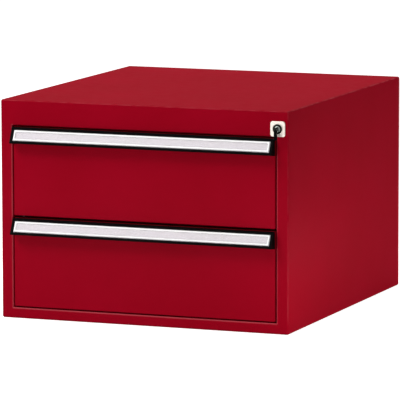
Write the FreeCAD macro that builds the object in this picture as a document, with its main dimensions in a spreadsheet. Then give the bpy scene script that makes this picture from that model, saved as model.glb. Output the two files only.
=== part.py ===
import FreeCAD, Part
import Sketcher
import math
import os
import re

# A two-drawer unit for a workbench, in millimetres.
# +X is to the right as seen from the front, the front faces -Y and +Z is up.
# The origin is the middle of the housing's bottom face.

os.makedirs("parts", exist_ok=True)
doc = FreeCAD.newDocument("WorkbenchDrawerUnit")
sheet = doc.addObject("Spreadsheet::Sheet", "Sizes")
nodes = []

# Housing
WIDTH = 500  # housing, side to side
DEPTH = 550  # housing, front to back
HEIGHT = 360  # housing, bottom to top
SKIN = 1.5  # sheet steel of the housing
BEND = 3  # outer radius where the housing's sheet is folded
RIM = 2.5  # radius of the fold round the drawer opening
JAMB = 18  # depth of the folded edge round the drawer opening
STILE = 20.5  # width of the frame beside the drawers
TOP_RAIL = 42  # height of the frame above the drawers
BOTTOM_RAIL = 18  # height of the frame below the drawers

# Drawers, one above the other in even steps
FRONT_GAP = 2  # gap round a drawer front, to its share of the opening
FRONT_DEPTH = 16  # thickness of the folded drawer front
FRONT_SKIN = 1.2  # sheet steel of the drawer front
FRONT_EDGE = 1.5  # rounding of the drawer front's edges
FRONT_LIP = 10  # width of the lip behind the drawer front
TRAY_SKIN = 1  # sheet steel of the drawer's tray
TRAY_RISE = 8  # tray floor above the drawer front's lower edge
TRAY_HEIGHT = 118  # height of the tray's walls
TRAY_HEM = 8  # width of the hem along the tray's top edge
TRAY_REAR_GAP = 37  # tray to the housing's back

# Handle along the top of each drawer front
GRIP_HEIGHT = 25.8  # handle, top edge to lower lip
GRIP_REACH = 18  # how far the handle stands forward
GRIP_WALL = 2.2  # wall of the handle's profile
GRIP_TAIL = 2  # back plate below the lower lip
LIP_DEPTH = 8  # depth of the handle's upper lip
LIP_HEIGHT = 4.3  # height of the handle's upper lip
LOWER_LIP = 3.8  # height of the handle's lower lip
LIP_EDGE = 1.2  # edge of a lip over the label
LIP_ROUND = 0.8  # rounding of the handle's lower lip
LIP_ROUND_TOP = 1.8  # rounding of the handle's upper lip
LIP_SLOPE = 1.4  # how much the lower lip draws in underneath
GROOVE_DEPTH = 1.8  # depth of the groove that holds the label
CAP_LENGTH = 4.5  # end cap, along the handle
LABEL_PAPER = 0.5  # thickness of the label strip
LABEL_COVER = 1  # thickness of the clear cover on the label
LABEL_PLAY = 0.5  # play of the label in its groove

# Runners
POST_DEPTH = 22  # posts that carry the runners, out from the housing's side
POST_WIDTH = 30  # posts, front to back
POST_SKIN = 2  # sheet steel of the posts
POST_FRONT = 39  # front face of the front posts, behind the housing's front
RUNNER_SPACE = 12.7  # room for a runner between post and tray
RUNNER_HEIGHT = 45.7  # height of the runner's outer member
RUNNER_WALL = 1.2  # steel of the runner's members
RUNNER_START = 21  # front end of the runners, behind the housing's front
RUNNER_REAR_GAP = 49  # rear end of the runners to the housing's back
RUNNER_RISE = 45  # middle of the runner above the tray's floor
FLANGE_SHORT = 0.8  # how much a member's flange stops short of the next web
MEMBER_STEP = 2.7  # from one member's web to the next
BALL = 3.2  # diameter of the runner's balls
BALL_PLAY = 0.1  # clearance of a ball to each track
BALL_PITCH = 30  # distance between the balls of a row
BALL_COUNT = 8  # balls in a row
CAGE = 0.6  # sheet of the ball cage
RIVET = 2.5  # radius of a rivet or screw shank
RIVET_HEAD = 4  # radius of a rivet or screw head
HEAD_HEIGHT = 1.8  # height of a rivet or screw head
HOLE_PLAY = 0.1  # radial play of a hole round a shank

# Lock in the top rail
LOCK_INSET = 17.5  # lock axis from the housing's right side
LOCK_DROP = 28.5  # lock axis below the housing's top
PLATE = 25  # side of the lock's square plate
PLATE_CORNER = 4  # corner radius of the lock's plate
PLATE_THICK = 2.5  # thickness of the lock's plate
PLATE_RIM = 0.8  # rounding of the plate's front edge
BARREL_RADIUS = 9  # radius of the lock's barrel
BARREL_PROUD = 3  # barrel in front of the housing
BARREL_LENGTH = 23  # barrel behind the housing's front
PLUG_RADIUS = 7  # radius of the turning plug
PLUG_PROUD = 0.6  # plug in front of the barrel
RUNNING = 0.05  # radial play of the turning plug
NUT_RADIUS = 11  # radius of the ring nut behind the rail
NUT_HEIGHT = 5  # height of the ring nut
KEYWAY = 2.2  # width of the slot for the key
KEYWAY_HEIGHT = 8  # height of the slot for the key
KEYWAY_DEPTH = 16  # depth of the slot for the key
BLADE = 1.8  # thickness of the key's blade
BLADE_HEIGHT = 7  # height of the key's blade
KEY_PIVOT = 8  # folding pivot of the key in front of the plug
BOW = 4  # thickness of the key's folding bow
BOW_WIDTH = 6.6  # width of the key's folding bow
BOW_LENGTH = 17  # folding bow, pivot to tip
PIN = 1  # radius of the key's pivot pin
FORK_PLAY = 0.3  # play between the bow's cheeks and the blade

# Locking bar behind the right stile
CAM_GAP = 1  # cam behind the barrel
CAM_THICK = 2.5  # thickness of the cam
CAM_THROW = 8  # cam pin from the lock's axis
CAM_PIN = 2  # radius of the cam pin
KNUCKLE = 3.5  # radius of the cam's end round its pin
BAR_THICK = 3  # thickness of the locking bar
BAR_WIDTH = 15  # width of the locking bar
BAR_INSET = 2.5  # locking bar from the inside of the housing's side
BAR_FOOT = 30  # lower end of the locking bar above the bottom
BAR_GAP = 2.5  # from the cam to the locking bar
SLOT_PLAY = 0.55  # play of the cam pin in the bar's slot
TAB_HEIGHT = 6  # height of the bar's tabs
CATCH_HEIGHT = 10  # height of a drawer's catch
CATCH_REACH = 8.2  # how far a catch stands out from the tray
CATCH_SKIN = 2  # sheet steel of a catch
CATCH_RISE = 85  # lower edge of a catch above the tray's floor
CATCH_LENGTH = 16  # foot of a catch along the tray
CATCH_PLAY = 0.6  # catch behind the locking bar
TAB_PLAY = 1.3  # bar's tab below the catch when unlocked
GUIDE_HEIGHT = 12  # height of a guide block
GUIDE_WALL = 2.3  # wall of a guide block
GUIDE_PLAY = 0.3  # play of the bar in its guides
GUIDE_RISE = 30  # guide block above the tray's floor of its drawer


def fill_sheet(**sizes):
    """Give each size a row of the sheet, with its name in words and its alias."""
    for row, (alias, number) in enumerate(sizes.items(), 1):
        sheet.set(f"A{row}", alias.replace("_", " "))
        sheet.set(f"B{row}", str(number))
        sheet.setAlias(f"B{row}", alias)
    return list(sizes)


# Every size above drives the model through the sheet
aliases = fill_sheet(
    width=WIDTH, depth=DEPTH, height=HEIGHT, skin=SKIN, bend=BEND, rim=RIM, jamb=JAMB, stile=STILE,
    top_rail=TOP_RAIL, bottom_rail=BOTTOM_RAIL, front_gap=FRONT_GAP, front_depth=FRONT_DEPTH,
    front_skin=FRONT_SKIN, front_edge=FRONT_EDGE, front_lip=FRONT_LIP, tray_skin=TRAY_SKIN,
    tray_rise=TRAY_RISE, tray_height=TRAY_HEIGHT, tray_hem=TRAY_HEM, tray_rear_gap=TRAY_REAR_GAP,
    grip_height=GRIP_HEIGHT, grip_reach=GRIP_REACH, grip_wall=GRIP_WALL, grip_tail=GRIP_TAIL,
    lip_depth=LIP_DEPTH, lip_height=LIP_HEIGHT, lower_lip=LOWER_LIP, lip_edge=LIP_EDGE,
    lip_round=LIP_ROUND, lip_round_top=LIP_ROUND_TOP, lip_slope=LIP_SLOPE, groove_depth=GROOVE_DEPTH,
    cap_length=CAP_LENGTH, label_paper=LABEL_PAPER, label_cover=LABEL_COVER, label_play=LABEL_PLAY,
    post_depth=POST_DEPTH, post_width=POST_WIDTH, post_skin=POST_SKIN, post_front=POST_FRONT,
    runner_space=RUNNER_SPACE, runner_height=RUNNER_HEIGHT, runner_wall=RUNNER_WALL,
    runner_start=RUNNER_START, runner_rear_gap=RUNNER_REAR_GAP, runner_rise=RUNNER_RISE,
    flange_short=FLANGE_SHORT, member_step=MEMBER_STEP, ball=BALL, ball_play=BALL_PLAY,
    ball_pitch=BALL_PITCH, ball_count=BALL_COUNT, cage=CAGE, rivet=RIVET, rivet_head=RIVET_HEAD,
    head_height=HEAD_HEIGHT, hole_play=HOLE_PLAY, lock_inset=LOCK_INSET, lock_drop=LOCK_DROP,
    plate=PLATE, plate_corner=PLATE_CORNER, plate_thick=PLATE_THICK, plate_rim=PLATE_RIM,
    barrel_radius=BARREL_RADIUS, barrel_proud=BARREL_PROUD, barrel_length=BARREL_LENGTH,
    plug_radius=PLUG_RADIUS,
    plug_proud=PLUG_PROUD, running=RUNNING, nut_radius=NUT_RADIUS, nut_height=NUT_HEIGHT, keyway=KEYWAY,
    keyway_height=KEYWAY_HEIGHT, keyway_depth=KEYWAY_DEPTH, blade=BLADE, blade_height=BLADE_HEIGHT,
    key_pivot=KEY_PIVOT, bow=BOW, bow_width=BOW_WIDTH, bow_length=BOW_LENGTH, pin=PIN,
    knuckle=KNUCKLE, fork_play=FORK_PLAY, cam_gap=CAM_GAP, cam_thick=CAM_THICK, cam_throw=CAM_THROW,
    cam_pin=CAM_PIN,
    bar_thick=BAR_THICK, bar_width=BAR_WIDTH, bar_inset=BAR_INSET, bar_foot=BAR_FOOT, bar_gap=BAR_GAP,
    slot_play=SLOT_PLAY, tab_height=TAB_HEIGHT, catch_height=CATCH_HEIGHT, catch_reach=CATCH_REACH,
    catch_skin=CATCH_SKIN, catch_rise=CATCH_RISE, catch_length=CATCH_LENGTH, catch_play=CATCH_PLAY,
    tab_play=TAB_PLAY, guide_height=GUIDE_HEIGHT, guide_wall=GUIDE_WALL, guide_play=GUIDE_PLAY,
    guide_rise=GUIDE_RISE,
)

# Two places closer than this are the same place
TOUCH = 1e-6
# The drawers, from the lowest up
TIER_TAGS = ("lower", "upper")
# How far a cutting tool runs past what it cuts
MARGIN = 1


def bound(expression):
    """Give an expression in the sheet's aliases the sheet's name."""
    return re.sub(r"[a-z_]+", lambda word: f"Sizes.{word[0]}" if word[0] in aliases else word[0], expression)


def bind(thing, target, expression):
    thing.setExpression(target, bound(expression))


def value(alias):
    return float(sheet.get(alias))


def make(kind, name):
    return doc.addObject(kind, name)


def node(thing, label):
    """Name a finished sub-part."""
    thing.Label = label
    nodes.append(thing)
    return thing


def place(thing, corner):
    for axis, expression in zip("xyz", corner):
        bind(thing, f"Placement.Base.{axis}", expression)
    return thing


def box(name, low, extent):
    """A block from its low corner and its three lengths."""
    block = make("Part::Box", name)
    for side, expression in zip(("Length", "Width", "Height"), extent):
        bind(block, side, expression)
    return place(block, low)


AIMS = {
    "+z": FreeCAD.Rotation(),
    "+x": FreeCAD.Rotation(FreeCAD.Vector(0, 1, 0), 90),
    "-x": FreeCAD.Rotation(FreeCAD.Vector(0, 1, 0), -90),
    "+y": FreeCAD.Rotation(FreeCAD.Vector(1, 0, 0), -90),
    "-y": FreeCAD.Rotation(FreeCAD.Vector(1, 0, 0), 90),
}


def rod(name, start, aim, radius, length):
    """A round bar that starts at a point and runs along an axis."""
    bar = make("Part::Cylinder", name)
    bar.Placement = FreeCAD.Placement(FreeCAD.Vector(0, 0, 0), AIMS[aim])
    bind(bar, "Radius", radius)
    bind(bar, "Height", length)
    return place(bar, start)


def cut(name, base, *tools):
    """Take the tools away from the base."""
    for index, tool in enumerate(tools):
        last = index == len(tools) - 1
        step = make("Part::Cut", name if last else f"{name}_cut_{index}")
        step.Base = base
        step.Tool = tool
        base = step
    return base


def join(name, *pieces):
    whole = make("Part::MultiFuse", name)
    whole.Shapes = list(pieces)
    whole.Refine = True
    return whole


def overlap(name, first, second):
    shared = make("Part::MultiCommon", name)
    shared.Shapes = [first, second]
    return shared


def group(name, pieces):
    """Separate solids that share one node."""
    whole = make("Part::Compound", name)
    whole.Links = list(pieces)
    return whole


def mirror(name, source):
    """The left-hand twin of a right-hand piece."""
    twin = make("Part::Mirroring", name)
    twin.Source = source
    twin.Normal = FreeCAD.Vector(1, 0, 0)
    return twin


def plane_of(body, role):
    for feature in body.Origin.OriginFeatures:
        if feature.Role == role:
            return feature


def outline(body, name, role, offset, corners):
    """A closed sketch with straight sides, each corner tied to the sheet."""
    sketch = body.newObject("Sketcher::SketchObject", name)
    sketch.AttachmentSupport = [(plane_of(body, role), "")]
    sketch.MapMode = "FlatFace"
    bind(sketch, "AttachmentOffset.Base.z", offset)
    count = len(corners)
    turn = [2 * math.pi * index / count for index in range(count)]
    ring = [FreeCAD.Vector(math.cos(angle), math.sin(angle), 0) for angle in turn]
    for index in range(count):
        sketch.addGeometry(Part.LineSegment(ring[index], ring[(index + 1) % count]))
    for index in range(count):
        sketch.addConstraint(Sketcher.Constraint("Coincident", index, 2, (index + 1) % count, 1))
    for index, corner in enumerate(corners):
        starts = (ring[index].x, ring[index].y)
        for kind, start, expression in zip(("DistanceX", "DistanceY"), starts, corner):
            number = sketch.addConstraint(Sketcher.Constraint(kind, -1, 1, index, 1, start))
            sketch.setExpression(f"Constraints[{number}]", bound(expression))
    return sketch


def prism(name, role, offset, corners, length, rounds=()):
    """A body padded from an outline along its plane's normal, with some long edges rounded."""
    body = make("PartDesign::Body", name)
    sketch = outline(body, f"{name}_outline", role, offset, corners)
    pad = body.newObject("PartDesign::Pad", f"{name}_pad")
    pad.Profile = sketch
    bind(pad, "Length", length)
    doc.recompute()
    for number, (indices, radius) in enumerate(rounds):
        starts = [sketch.Geometry[index].StartPoint for index in indices]
        spots = [sketch.Placement.multVec(start) for start in starts]
        normal = sketch.Placement.Rotation.multVec(FreeCAD.Vector(0, 0, 1))
        edges = long_edges(body.Tip.Shape, spots, normal)
        body.Tip = round_off(body, f"{name}_round_{number}", edges, radius)
        doc.recompute()
    return body


def long_edges(shape, spots, normal):
    """Names of the straight edges along the normal that pass through the spots."""
    names = []
    for number, edge in enumerate(shape.Edges, 1):
        start = edge.Vertexes[0].Point
        run = edge.Vertexes[-1].Point - start
        if run.Length < TOUCH or run.cross(normal).Length > TOUCH * run.Length:
            continue
        if any((start - spot).cross(normal).Length < 1e-4 for spot in spots):
            names.append(f"Edge{number}")
    return names


def round_off(body, name, edges, radius):
    base = body.Tip
    fillet = body.newObject("PartDesign::Fillet", name)
    fillet.Base = (base, edges)
    bind(fillet, "Radius", radius)
    return fillet


# Places that several pieces share, as expressions in the sheet's aliases
FRONT = "(-depth / 2)"
BACK = "(depth / 2)"
SIDE = "(width / 2)"
SIDE_INNER = "(width / 2 - skin)"
OPENING_HALF = "(width / 2 - stile)"
OPENING_TOP = "(height - top_rail)"
POST_FACE = f"({SIDE_INNER} - post_depth)"
TRAY_HALF = f"({POST_FACE} - runner_space)"
PITCH = f"(({OPENING_TOP} - bottom_rail) / {len(TIER_TAGS)})"
RUNNER_FRONT = f"({FRONT} + runner_start)"
RUNNER_BACK = f"({BACK} - runner_rear_gap)"
RUNNER_SPAN = f"({RUNNER_BACK} - {RUNNER_FRONT})"
FRONT_POST = f"({FRONT} + post_front)"
REAR_POST = f"({RUNNER_BACK} - post_width)"
PAN_BACK = f"({FRONT} + front_depth)"
LOCK_X = f"({SIDE} - lock_inset)"
LOCK_Z = "(height - lock_drop)"
CAM_FRONT = f"({FRONT} + barrel_length + cam_gap)"
BAR_FRONT = f"({CAM_FRONT} + cam_thick + bar_gap)"
BAR_OUTER = f"({SIDE_INNER} - bar_inset)"
BAR_INNER = f"({BAR_OUTER} - bar_width)"


def floor_of(tier):
    """Lower edge of a drawer's front."""
    return f"(bottom_rail + {tier} * {PITCH} + front_gap)"


def tray_floor(tier):
    return f"({floor_of(tier)} + tray_rise)"


def runner_level(tier):
    return f"({tray_floor(tier)} + runner_rise)"


def grip_top(tier):
    """Upper edge of a drawer's front, which is also the top of its handle."""
    return f"({floor_of(tier)} + {PITCH} - 2 * front_gap)"


# Four screws hold a handle, evenly spread over the opening
GRIP_SCREWS = [f"{share} * {OPENING_HALF}" for share in (-0.75, -0.25, 0.25, 0.75)]


def grip_screw_level(tier):
    return f"({grip_top(tier)} - grip_height / 2)"


def housing_form(name, inset):
    """The housing as a solid block with a tunnel for the drawers, set in by an inset."""
    body = make("PartDesign::Body", name)
    block = body.newObject("PartDesign::AdditiveBox", f"{name}_block")
    bind(block, "Length", f"width - 2 * {inset}")
    bind(block, "Width", f"depth - 2 * {inset}")
    bind(block, "Height", f"height - 2 * {inset}")
    place(block, (f"-width / 2 + {inset}", f"-depth / 2 + {inset}", inset))
    doc.recompute()
    folds = body.newObject("PartDesign::Fillet", f"{name}_folds")
    folds.Base = (block, ["Edge1"])
    folds.UseAllEdges = True
    bind(folds, "Radius", f"bend - {inset}")
    doc.recompute()
    tunnel = body.newObject("PartDesign::SubtractiveBox", f"{name}_tunnel")
    bind(tunnel, "Length", f"2 * {OPENING_HALF} + 2 * {inset}")
    bind(tunnel, "Width", f"jamb + {MARGIN}")
    bind(tunnel, "Height", f"{OPENING_TOP} - bottom_rail + 2 * {inset}")
    place(tunnel, (f"-{OPENING_HALF} - {inset}", f"{FRONT} - {MARGIN}", f"bottom_rail - {inset}"))
    doc.recompute()
    face = -value("depth") / 2 + (value("skin") if inset == "skin" else 0)
    reach = value("width") / 2 - value("stile") + value("skin") + MARGIN
    floor = value("bottom_rail") - value("skin") - MARGIN
    ceiling = value("height") - value("bend")
    rim = []
    for number, edge in enumerate(body.Tip.Shape.Edges, 1):
        ends = [vertex.Point for vertex in edge.Vertexes]
        inside = all(floor < point.z < ceiling for point in ends)
        if inside and all(abs(point.y - face) < TOUCH and abs(point.x) < reach for point in ends):
            rim.append(f"Edge{number}")
    round_off(body, f"{name}_rim", rim, f"rim - {inset}")
    doc.recompute()
    return body


def housing():
    """Four folded sheets and a back, welded edge to edge so that no seam shows."""
    skin_sheet = cut("skin_sheet", housing_form("outer_form", "0"), housing_form("inner_form", "skin"))
    past = f"{FRONT} - {MARGIN}"
    long = f"depth + 2 * {MARGIN}"
    wide = "width - 2 * bend"
    left = "bend - width / 2"
    opening = f"2 * {OPENING_HALF}"
    shallow = f"jamb + 2 * {MARGIN}"
    side_zone = join(
        "side_zone",
        box("side_wall_zone", (f"{SIDE} - bend", past, f"-{MARGIN}"),
            (f"bend + {MARGIN}", long, f"height + 2 * {MARGIN}")),
        box("stile_zone", (OPENING_HALF, past, "bend"),
            (f"stile + {MARGIN}", shallow, f"{OPENING_TOP} - bend")),
    )
    top_zone = join(
        "top_zone",
        box("lid_zone", (left, past, "height - bend"), (wide, long, f"bend + {MARGIN}")),
        box("top_rail_zone", (left, past, OPENING_TOP), (wide, shallow, f"top_rail + {MARGIN}")),
    )
    bottom_zone = join(
        "bottom_zone",
        box("floor_zone", (left, past, f"-{MARGIN}"), (wide, long, f"bend + {MARGIN}")),
        box("low_rail_zone", (f"-{OPENING_HALF}", past, f"-{MARGIN}"),
            (opening, shallow, f"bottom_rail + {MARGIN}")),
    )
    back_zone = box("back_zone", (left, f"{BACK} - bend", "bend"),
                    (wide, f"bend + {MARGIN}", "height - 2 * bend"))
    side = node(overlap("side_panel_right", skin_sheet, side_zone), "side_panel_right")
    node(mirror("side_panel_left", side), "side_panel_left")
    lock_hole = rod("lock_hole", (LOCK_X, past, LOCK_Z), "+y", "barrel_radius + hole_play", "jamb")
    node(cut("top_panel", overlap("lid_and_rail", skin_sheet, top_zone), lock_hole), "top_panel")
    node(overlap("bottom_panel", skin_sheet, bottom_zone), "bottom_panel")
    node(overlap("back_panel", skin_sheet, back_zone), "back_panel")


def posts():
    """Channel posts welded inside the housing's sides, which carry the runners."""
    stations = (("front", FRONT_POST), ("rear", REAR_POST))
    for label, start in stations:
        inner = f"{POST_FACE} + post_skin"
        end = f"{start} + post_width"
        corners = [
            (POST_FACE, start), (SIDE_INNER, start), (SIDE_INNER, f"{start} + post_skin"),
            (inner, f"{start} + post_skin"), (inner, f"{end} - post_skin"),
            (SIDE_INNER, f"{end} - post_skin"), (SIDE_INNER, end), (POST_FACE, end),
        ]
        name = f"{label}_post"
        channel = prism(f"{name}_channel", "XY_Plane", "bend", corners, "height - 2 * bend",
                        [((0, 7), "post_skin")])
        holes = []
        for tier in range(len(TIER_TAGS)):
            spot = (f"{POST_FACE} - {MARGIN}", f"{start} + post_width / 2", runner_level(tier))
            holes.append(rod(f"{name}_hole_{tier}", spot, "+x", "rivet + hole_play",
                             f"post_skin + 2 * {MARGIN}"))
        right = node(cut(f"{name}_right", channel, *holes), f"{name}_right")
        node(mirror(f"{name}_left", right), f"{name}_left")


def runner_rivets():
    """Flush rivets that hold the outer members of the runners to the posts."""
    pieces = []
    for tier in range(len(TIER_TAGS)):
        for label, start in (("front", FRONT_POST), ("rear", REAR_POST)):
            y = f"{start} + post_width / 2"
            level = runner_level(tier)
            name = f"rivet_{label}_{tier}"
            shank = rod(f"{name}_shank", (f"{POST_FACE} - runner_wall", y, level), "+x", "rivet",
                        "runner_wall + post_skin")
            head = rod(f"{name}_head", (f"{POST_FACE} + post_skin", y, level), "+x", "rivet_head",
                       "head_height")
            right = join(name, shank, head)
            pieces += [right, mirror(f"{name}_left", right)]
    node(group("runner_rivets", pieces), "runner_rivets")


def member(name, web, aim, reach, half_height, tier):
    """A folded runner member: a web with a flange above and below, aimed at the tray or the post."""
    level = runner_level(tier)
    sign = "-" if aim == "inward" else "+"
    inner = f"{web} {sign} runner_wall"
    edge = f"{web} {sign} {reach}"
    high = f"{level} + {half_height}"
    low = f"{level} - {half_height}"
    corners = [
        (web, low), (edge, low), (edge, f"{low} + runner_wall"), (inner, f"{low} + runner_wall"),
        (inner, f"{high} - runner_wall"), (edge, f"{high} - runner_wall"), (edge, high), (web, high),
    ]
    return prism(name, "XZ_Plane", f"-{RUNNER_BACK}", corners, RUNNER_SPAN, [((0, 7), "runner_wall")])


def runner_set(tag, tier):
    """Outer, middle and inner member of one drawer's two runners, with their ball cages."""
    track = "(runner_wall + ball + 2 * ball_play)"
    outer_half = "(runner_height / 2)"
    middle_half = f"({outer_half} - {track})"
    inner_half = f"({middle_half} - {track})"
    middle_web = f"({POST_FACE} - member_step)"
    inner_reach = f"({middle_web} - runner_wall - {TRAY_HALF} - 2 * cage)"

    outer = member(f"{tag}_outer", POST_FACE, "inward", "(runner_space - flange_short)", outer_half, tier)
    holes = []
    for label, start in (("front", FRONT_POST), ("rear", REAR_POST)):
        spot = (f"{POST_FACE} - runner_wall - {MARGIN}", f"{start} + post_width / 2", runner_level(tier))
        holes.append(rod(f"{tag}_outer_hole_{label}", spot, "+x", "rivet + hole_play",
                         f"runner_wall + 2 * {MARGIN}"))
    right = node(cut(f"{tag}_fixed_right", outer, *holes), f"runner_fixed_{tag}_right")
    node(mirror(f"{tag}_fixed_left", right), f"runner_fixed_{tag}_left")

    middle = member(f"{tag}_middle", middle_web, "inward", f"({middle_web} - {TRAY_HALF} - flange_short)",
                    middle_half, tier)
    node(middle, f"runner_middle_{tag}_right")
    node(mirror(f"{tag}_middle_left", middle), f"runner_middle_{tag}_left")

    inner = member(f"{tag}_inner", TRAY_HALF, "outward", inner_reach, inner_half, tier)
    node(inner, f"runner_drawer_{tag}_right")
    node(mirror(f"{tag}_inner_left", inner), f"runner_drawer_{tag}_left")

    gap = "(ball / 2 + ball_play)"
    outer_row = f"({outer_half} - runner_wall - {gap})"
    inner_row = f"({middle_half} - runner_wall - {gap})"
    row_x = f"({TRAY_HALF} + ({middle_web} - {TRAY_HALF}) / 2)"
    outer_web = f"({POST_FACE} - runner_wall - (member_step - runner_wall - cage) / 2)"
    inner_web = f"({middle_web} - runner_wall - cage / 2)"
    ball_cages(f"cage_outer_{tag}", tier, outer_web, outer_row, row_x)
    ball_cages(f"cage_inner_{tag}", tier, inner_web, inner_row, f"({TRAY_HALF} + runner_wall + ball)")


def ball_cages(name, tier, web, row, row_x):
    """A folded cage on each side of the drawer, with a row of balls above and one below."""
    level = runner_level(tier)
    count = int(value("ball_count"))
    middle = f"({RUNNER_FRONT} + {RUNNER_SPAN} / 2)"
    span = "(ball_pitch * ball_count)"
    tip = f"({row_x} - ball)"
    high = f"({level} + {row} + cage / 2)"
    low = f"({level} - {row} - cage / 2)"
    corners = [
        (web, low), (tip, low), (tip, f"{low} + cage"), (f"{web} - cage", f"{low} + cage"),
        (f"{web} - cage", f"{high} - cage"), (tip, f"{high} - cage"), (tip, high), (web, high),
    ]
    strip = prism(f"{name}_strip", "XZ_Plane", f"-({middle} + {span} / 2)", corners, span)
    holes = []
    balls = []
    for index in range(count):
        y = f"{middle} + ({index} - (ball_count - 1) / 2) * ball_pitch"
        holes.append(rod(f"{name}_bore_{index}", (row_x, y, f"{level} - {row} - cage"), "+z",
                         "ball / 2 + ball_play", f"2 * {row} + 2 * cage"))
        for sign in ("+", "-"):
            ball = make("Part::Sphere", f"{name}_ball_{index}_{'upper' if sign == '+' else 'lower'}")
            bind(ball, "Radius", "ball / 2")
            balls.append(place(ball, (row_x, y, f"{level} {sign} {row}")))
    cage = cut(f"{name}_cage", strip, join(f"{name}_bores", *holes))
    right = group(f"{name}_right", [cage, *balls])
    node(group(name, [right, mirror(f"{name}_left", right)]), name)


def drawer_front(tag, tier):
    """A folded pan: a face with four returned sides and a lip behind."""
    floor = floor_of(tier)
    half = f"({OPENING_HALF} - front_gap)"
    tall = f"({PITCH} - 2 * front_gap)"
    body = make("PartDesign::Body", f"{tag}_pan")
    block = body.newObject("PartDesign::AdditiveBox", f"{tag}_pan_block")
    bind(block, "Length", f"2 * {half}")
    bind(block, "Width", "front_depth")
    bind(block, "Height", tall)
    place(block, (f"-{half}", FRONT, floor))
    doc.recompute()
    edges = []
    for number, edge in enumerate(block.Shape.Edges, 1):
        ends = [vertex.Point.y for vertex in edge.Vertexes]
        if min(ends) < -value("depth") / 2 + value("front_skin"):
            edges.append(f"Edge{number}")
    body.Tip = round_off(body, f"{tag}_pan_folds", edges, "front_edge")
    doc.recompute()
    hollow = box(f"{tag}_pan_hollow",
                 (f"front_skin - {half}", f"{FRONT} + front_skin", f"{floor} + front_skin"),
                 (f"2 * {half} - 2 * front_skin", "front_depth - 2 * front_skin", f"{tall} - 2 * front_skin"))
    mouth = box(f"{tag}_pan_mouth",
                (f"front_lip - {half}", f"{FRONT} + front_depth / 2", f"{floor} + front_lip"),
                (f"2 * {half} - 2 * front_lip", "front_depth", f"{tall} - 2 * front_lip"))
    screws = []
    for index, x in enumerate(GRIP_SCREWS):
        screws.append(rod(f"{tag}_pan_hole_{index}", (x, f"{FRONT} - {MARGIN}", grip_screw_level(tier)), "+y",
                          "rivet + hole_play", f"front_skin + 2 * {MARGIN}"))
    node(cut(f"{tag}_front", body, hollow, mouth, *screws), f"drawer_{tag}_front")


def drawer_tray(tag, tier):
    """Floor and sides folded from one sheet, with hems, and the two end walls."""
    floor = tray_floor(tier)
    top = f"({floor} + tray_height)"
    rear = f"({BACK} - tray_rear_gap)"
    face = f"({PAN_BACK} + tray_skin)"
    inner = f"({TRAY_HALF} - tray_skin)"
    hem = f"({TRAY_HALF} - tray_hem)"
    corners = [
        (f"-{TRAY_HALF}", floor), (TRAY_HALF, floor), (TRAY_HALF, top), (hem, top),
        (hem, f"{top} - tray_skin"), (inner, f"{top} - tray_skin"), (inner, f"{floor} + tray_skin"),
        (f"-{inner}", f"{floor} + tray_skin"), (f"-{inner}", f"{top} - tray_skin"),
        (f"-{hem}", f"{top} - tray_skin"), (f"-{hem}", top), (f"-{TRAY_HALF}", top),
    ]
    tray = prism(f"{tag}_tray", "XZ_Plane", f"-{rear}", corners, f"{rear} - {face}",
                 [((0, 1, 2, 11), "tray_skin")])
    node(tray, f"drawer_{tag}_tray")
    node(box(f"{tag}_inner_front", (f"-{TRAY_HALF}", PAN_BACK, floor),
             (f"2 * {TRAY_HALF}", "tray_skin", "tray_height")),
         f"drawer_{tag}_inner_front")
    node(box(f"{tag}_back", (f"-{inner}", f"{rear} - tray_skin", f"{floor} + tray_skin"),
             (f"2 * {inner}", "tray_skin", "tray_height - 2 * tray_skin")),
         f"drawer_{tag}_back")


def grip_corner(tier, forward, down):
    """A point of the handle's section, given forward of the drawer front and down from the top."""
    return (f"{FRONT} - ({forward})", f"{grip_top(tier)} - ({down})")


# The sloped face of the handle, from the upper lip to the lower lip
SLOPE_TOP = ("(lip_depth - groove_depth)", "lip_height")
SLOPE_FOOT = ("(grip_reach - groove_depth - lip_edge)", "(grip_height - lower_lip)")
SLOPE_RUN = f"({SLOPE_FOOT[0]} - {SLOPE_TOP[0]})"
SLOPE_DROP = f"({SLOPE_FOOT[1]} - {SLOPE_TOP[1]})"
SLOPE_LENGTH = f"sqrt({SLOPE_RUN} ^ 2 + {SLOPE_DROP} ^ 2)"


def slope_point(along, out):
    """A point a distance down along the sloped face and a distance out from it."""
    forward = f"(({along}) * {SLOPE_RUN} + ({out}) * {SLOPE_DROP}) / {SLOPE_LENGTH}"
    down = f"(({along}) * {SLOPE_DROP} - ({out}) * {SLOPE_RUN}) / {SLOPE_LENGTH}"
    return f"({SLOPE_TOP[0]} + {forward})", f"({SLOPE_TOP[1]} + {down})"


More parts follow.
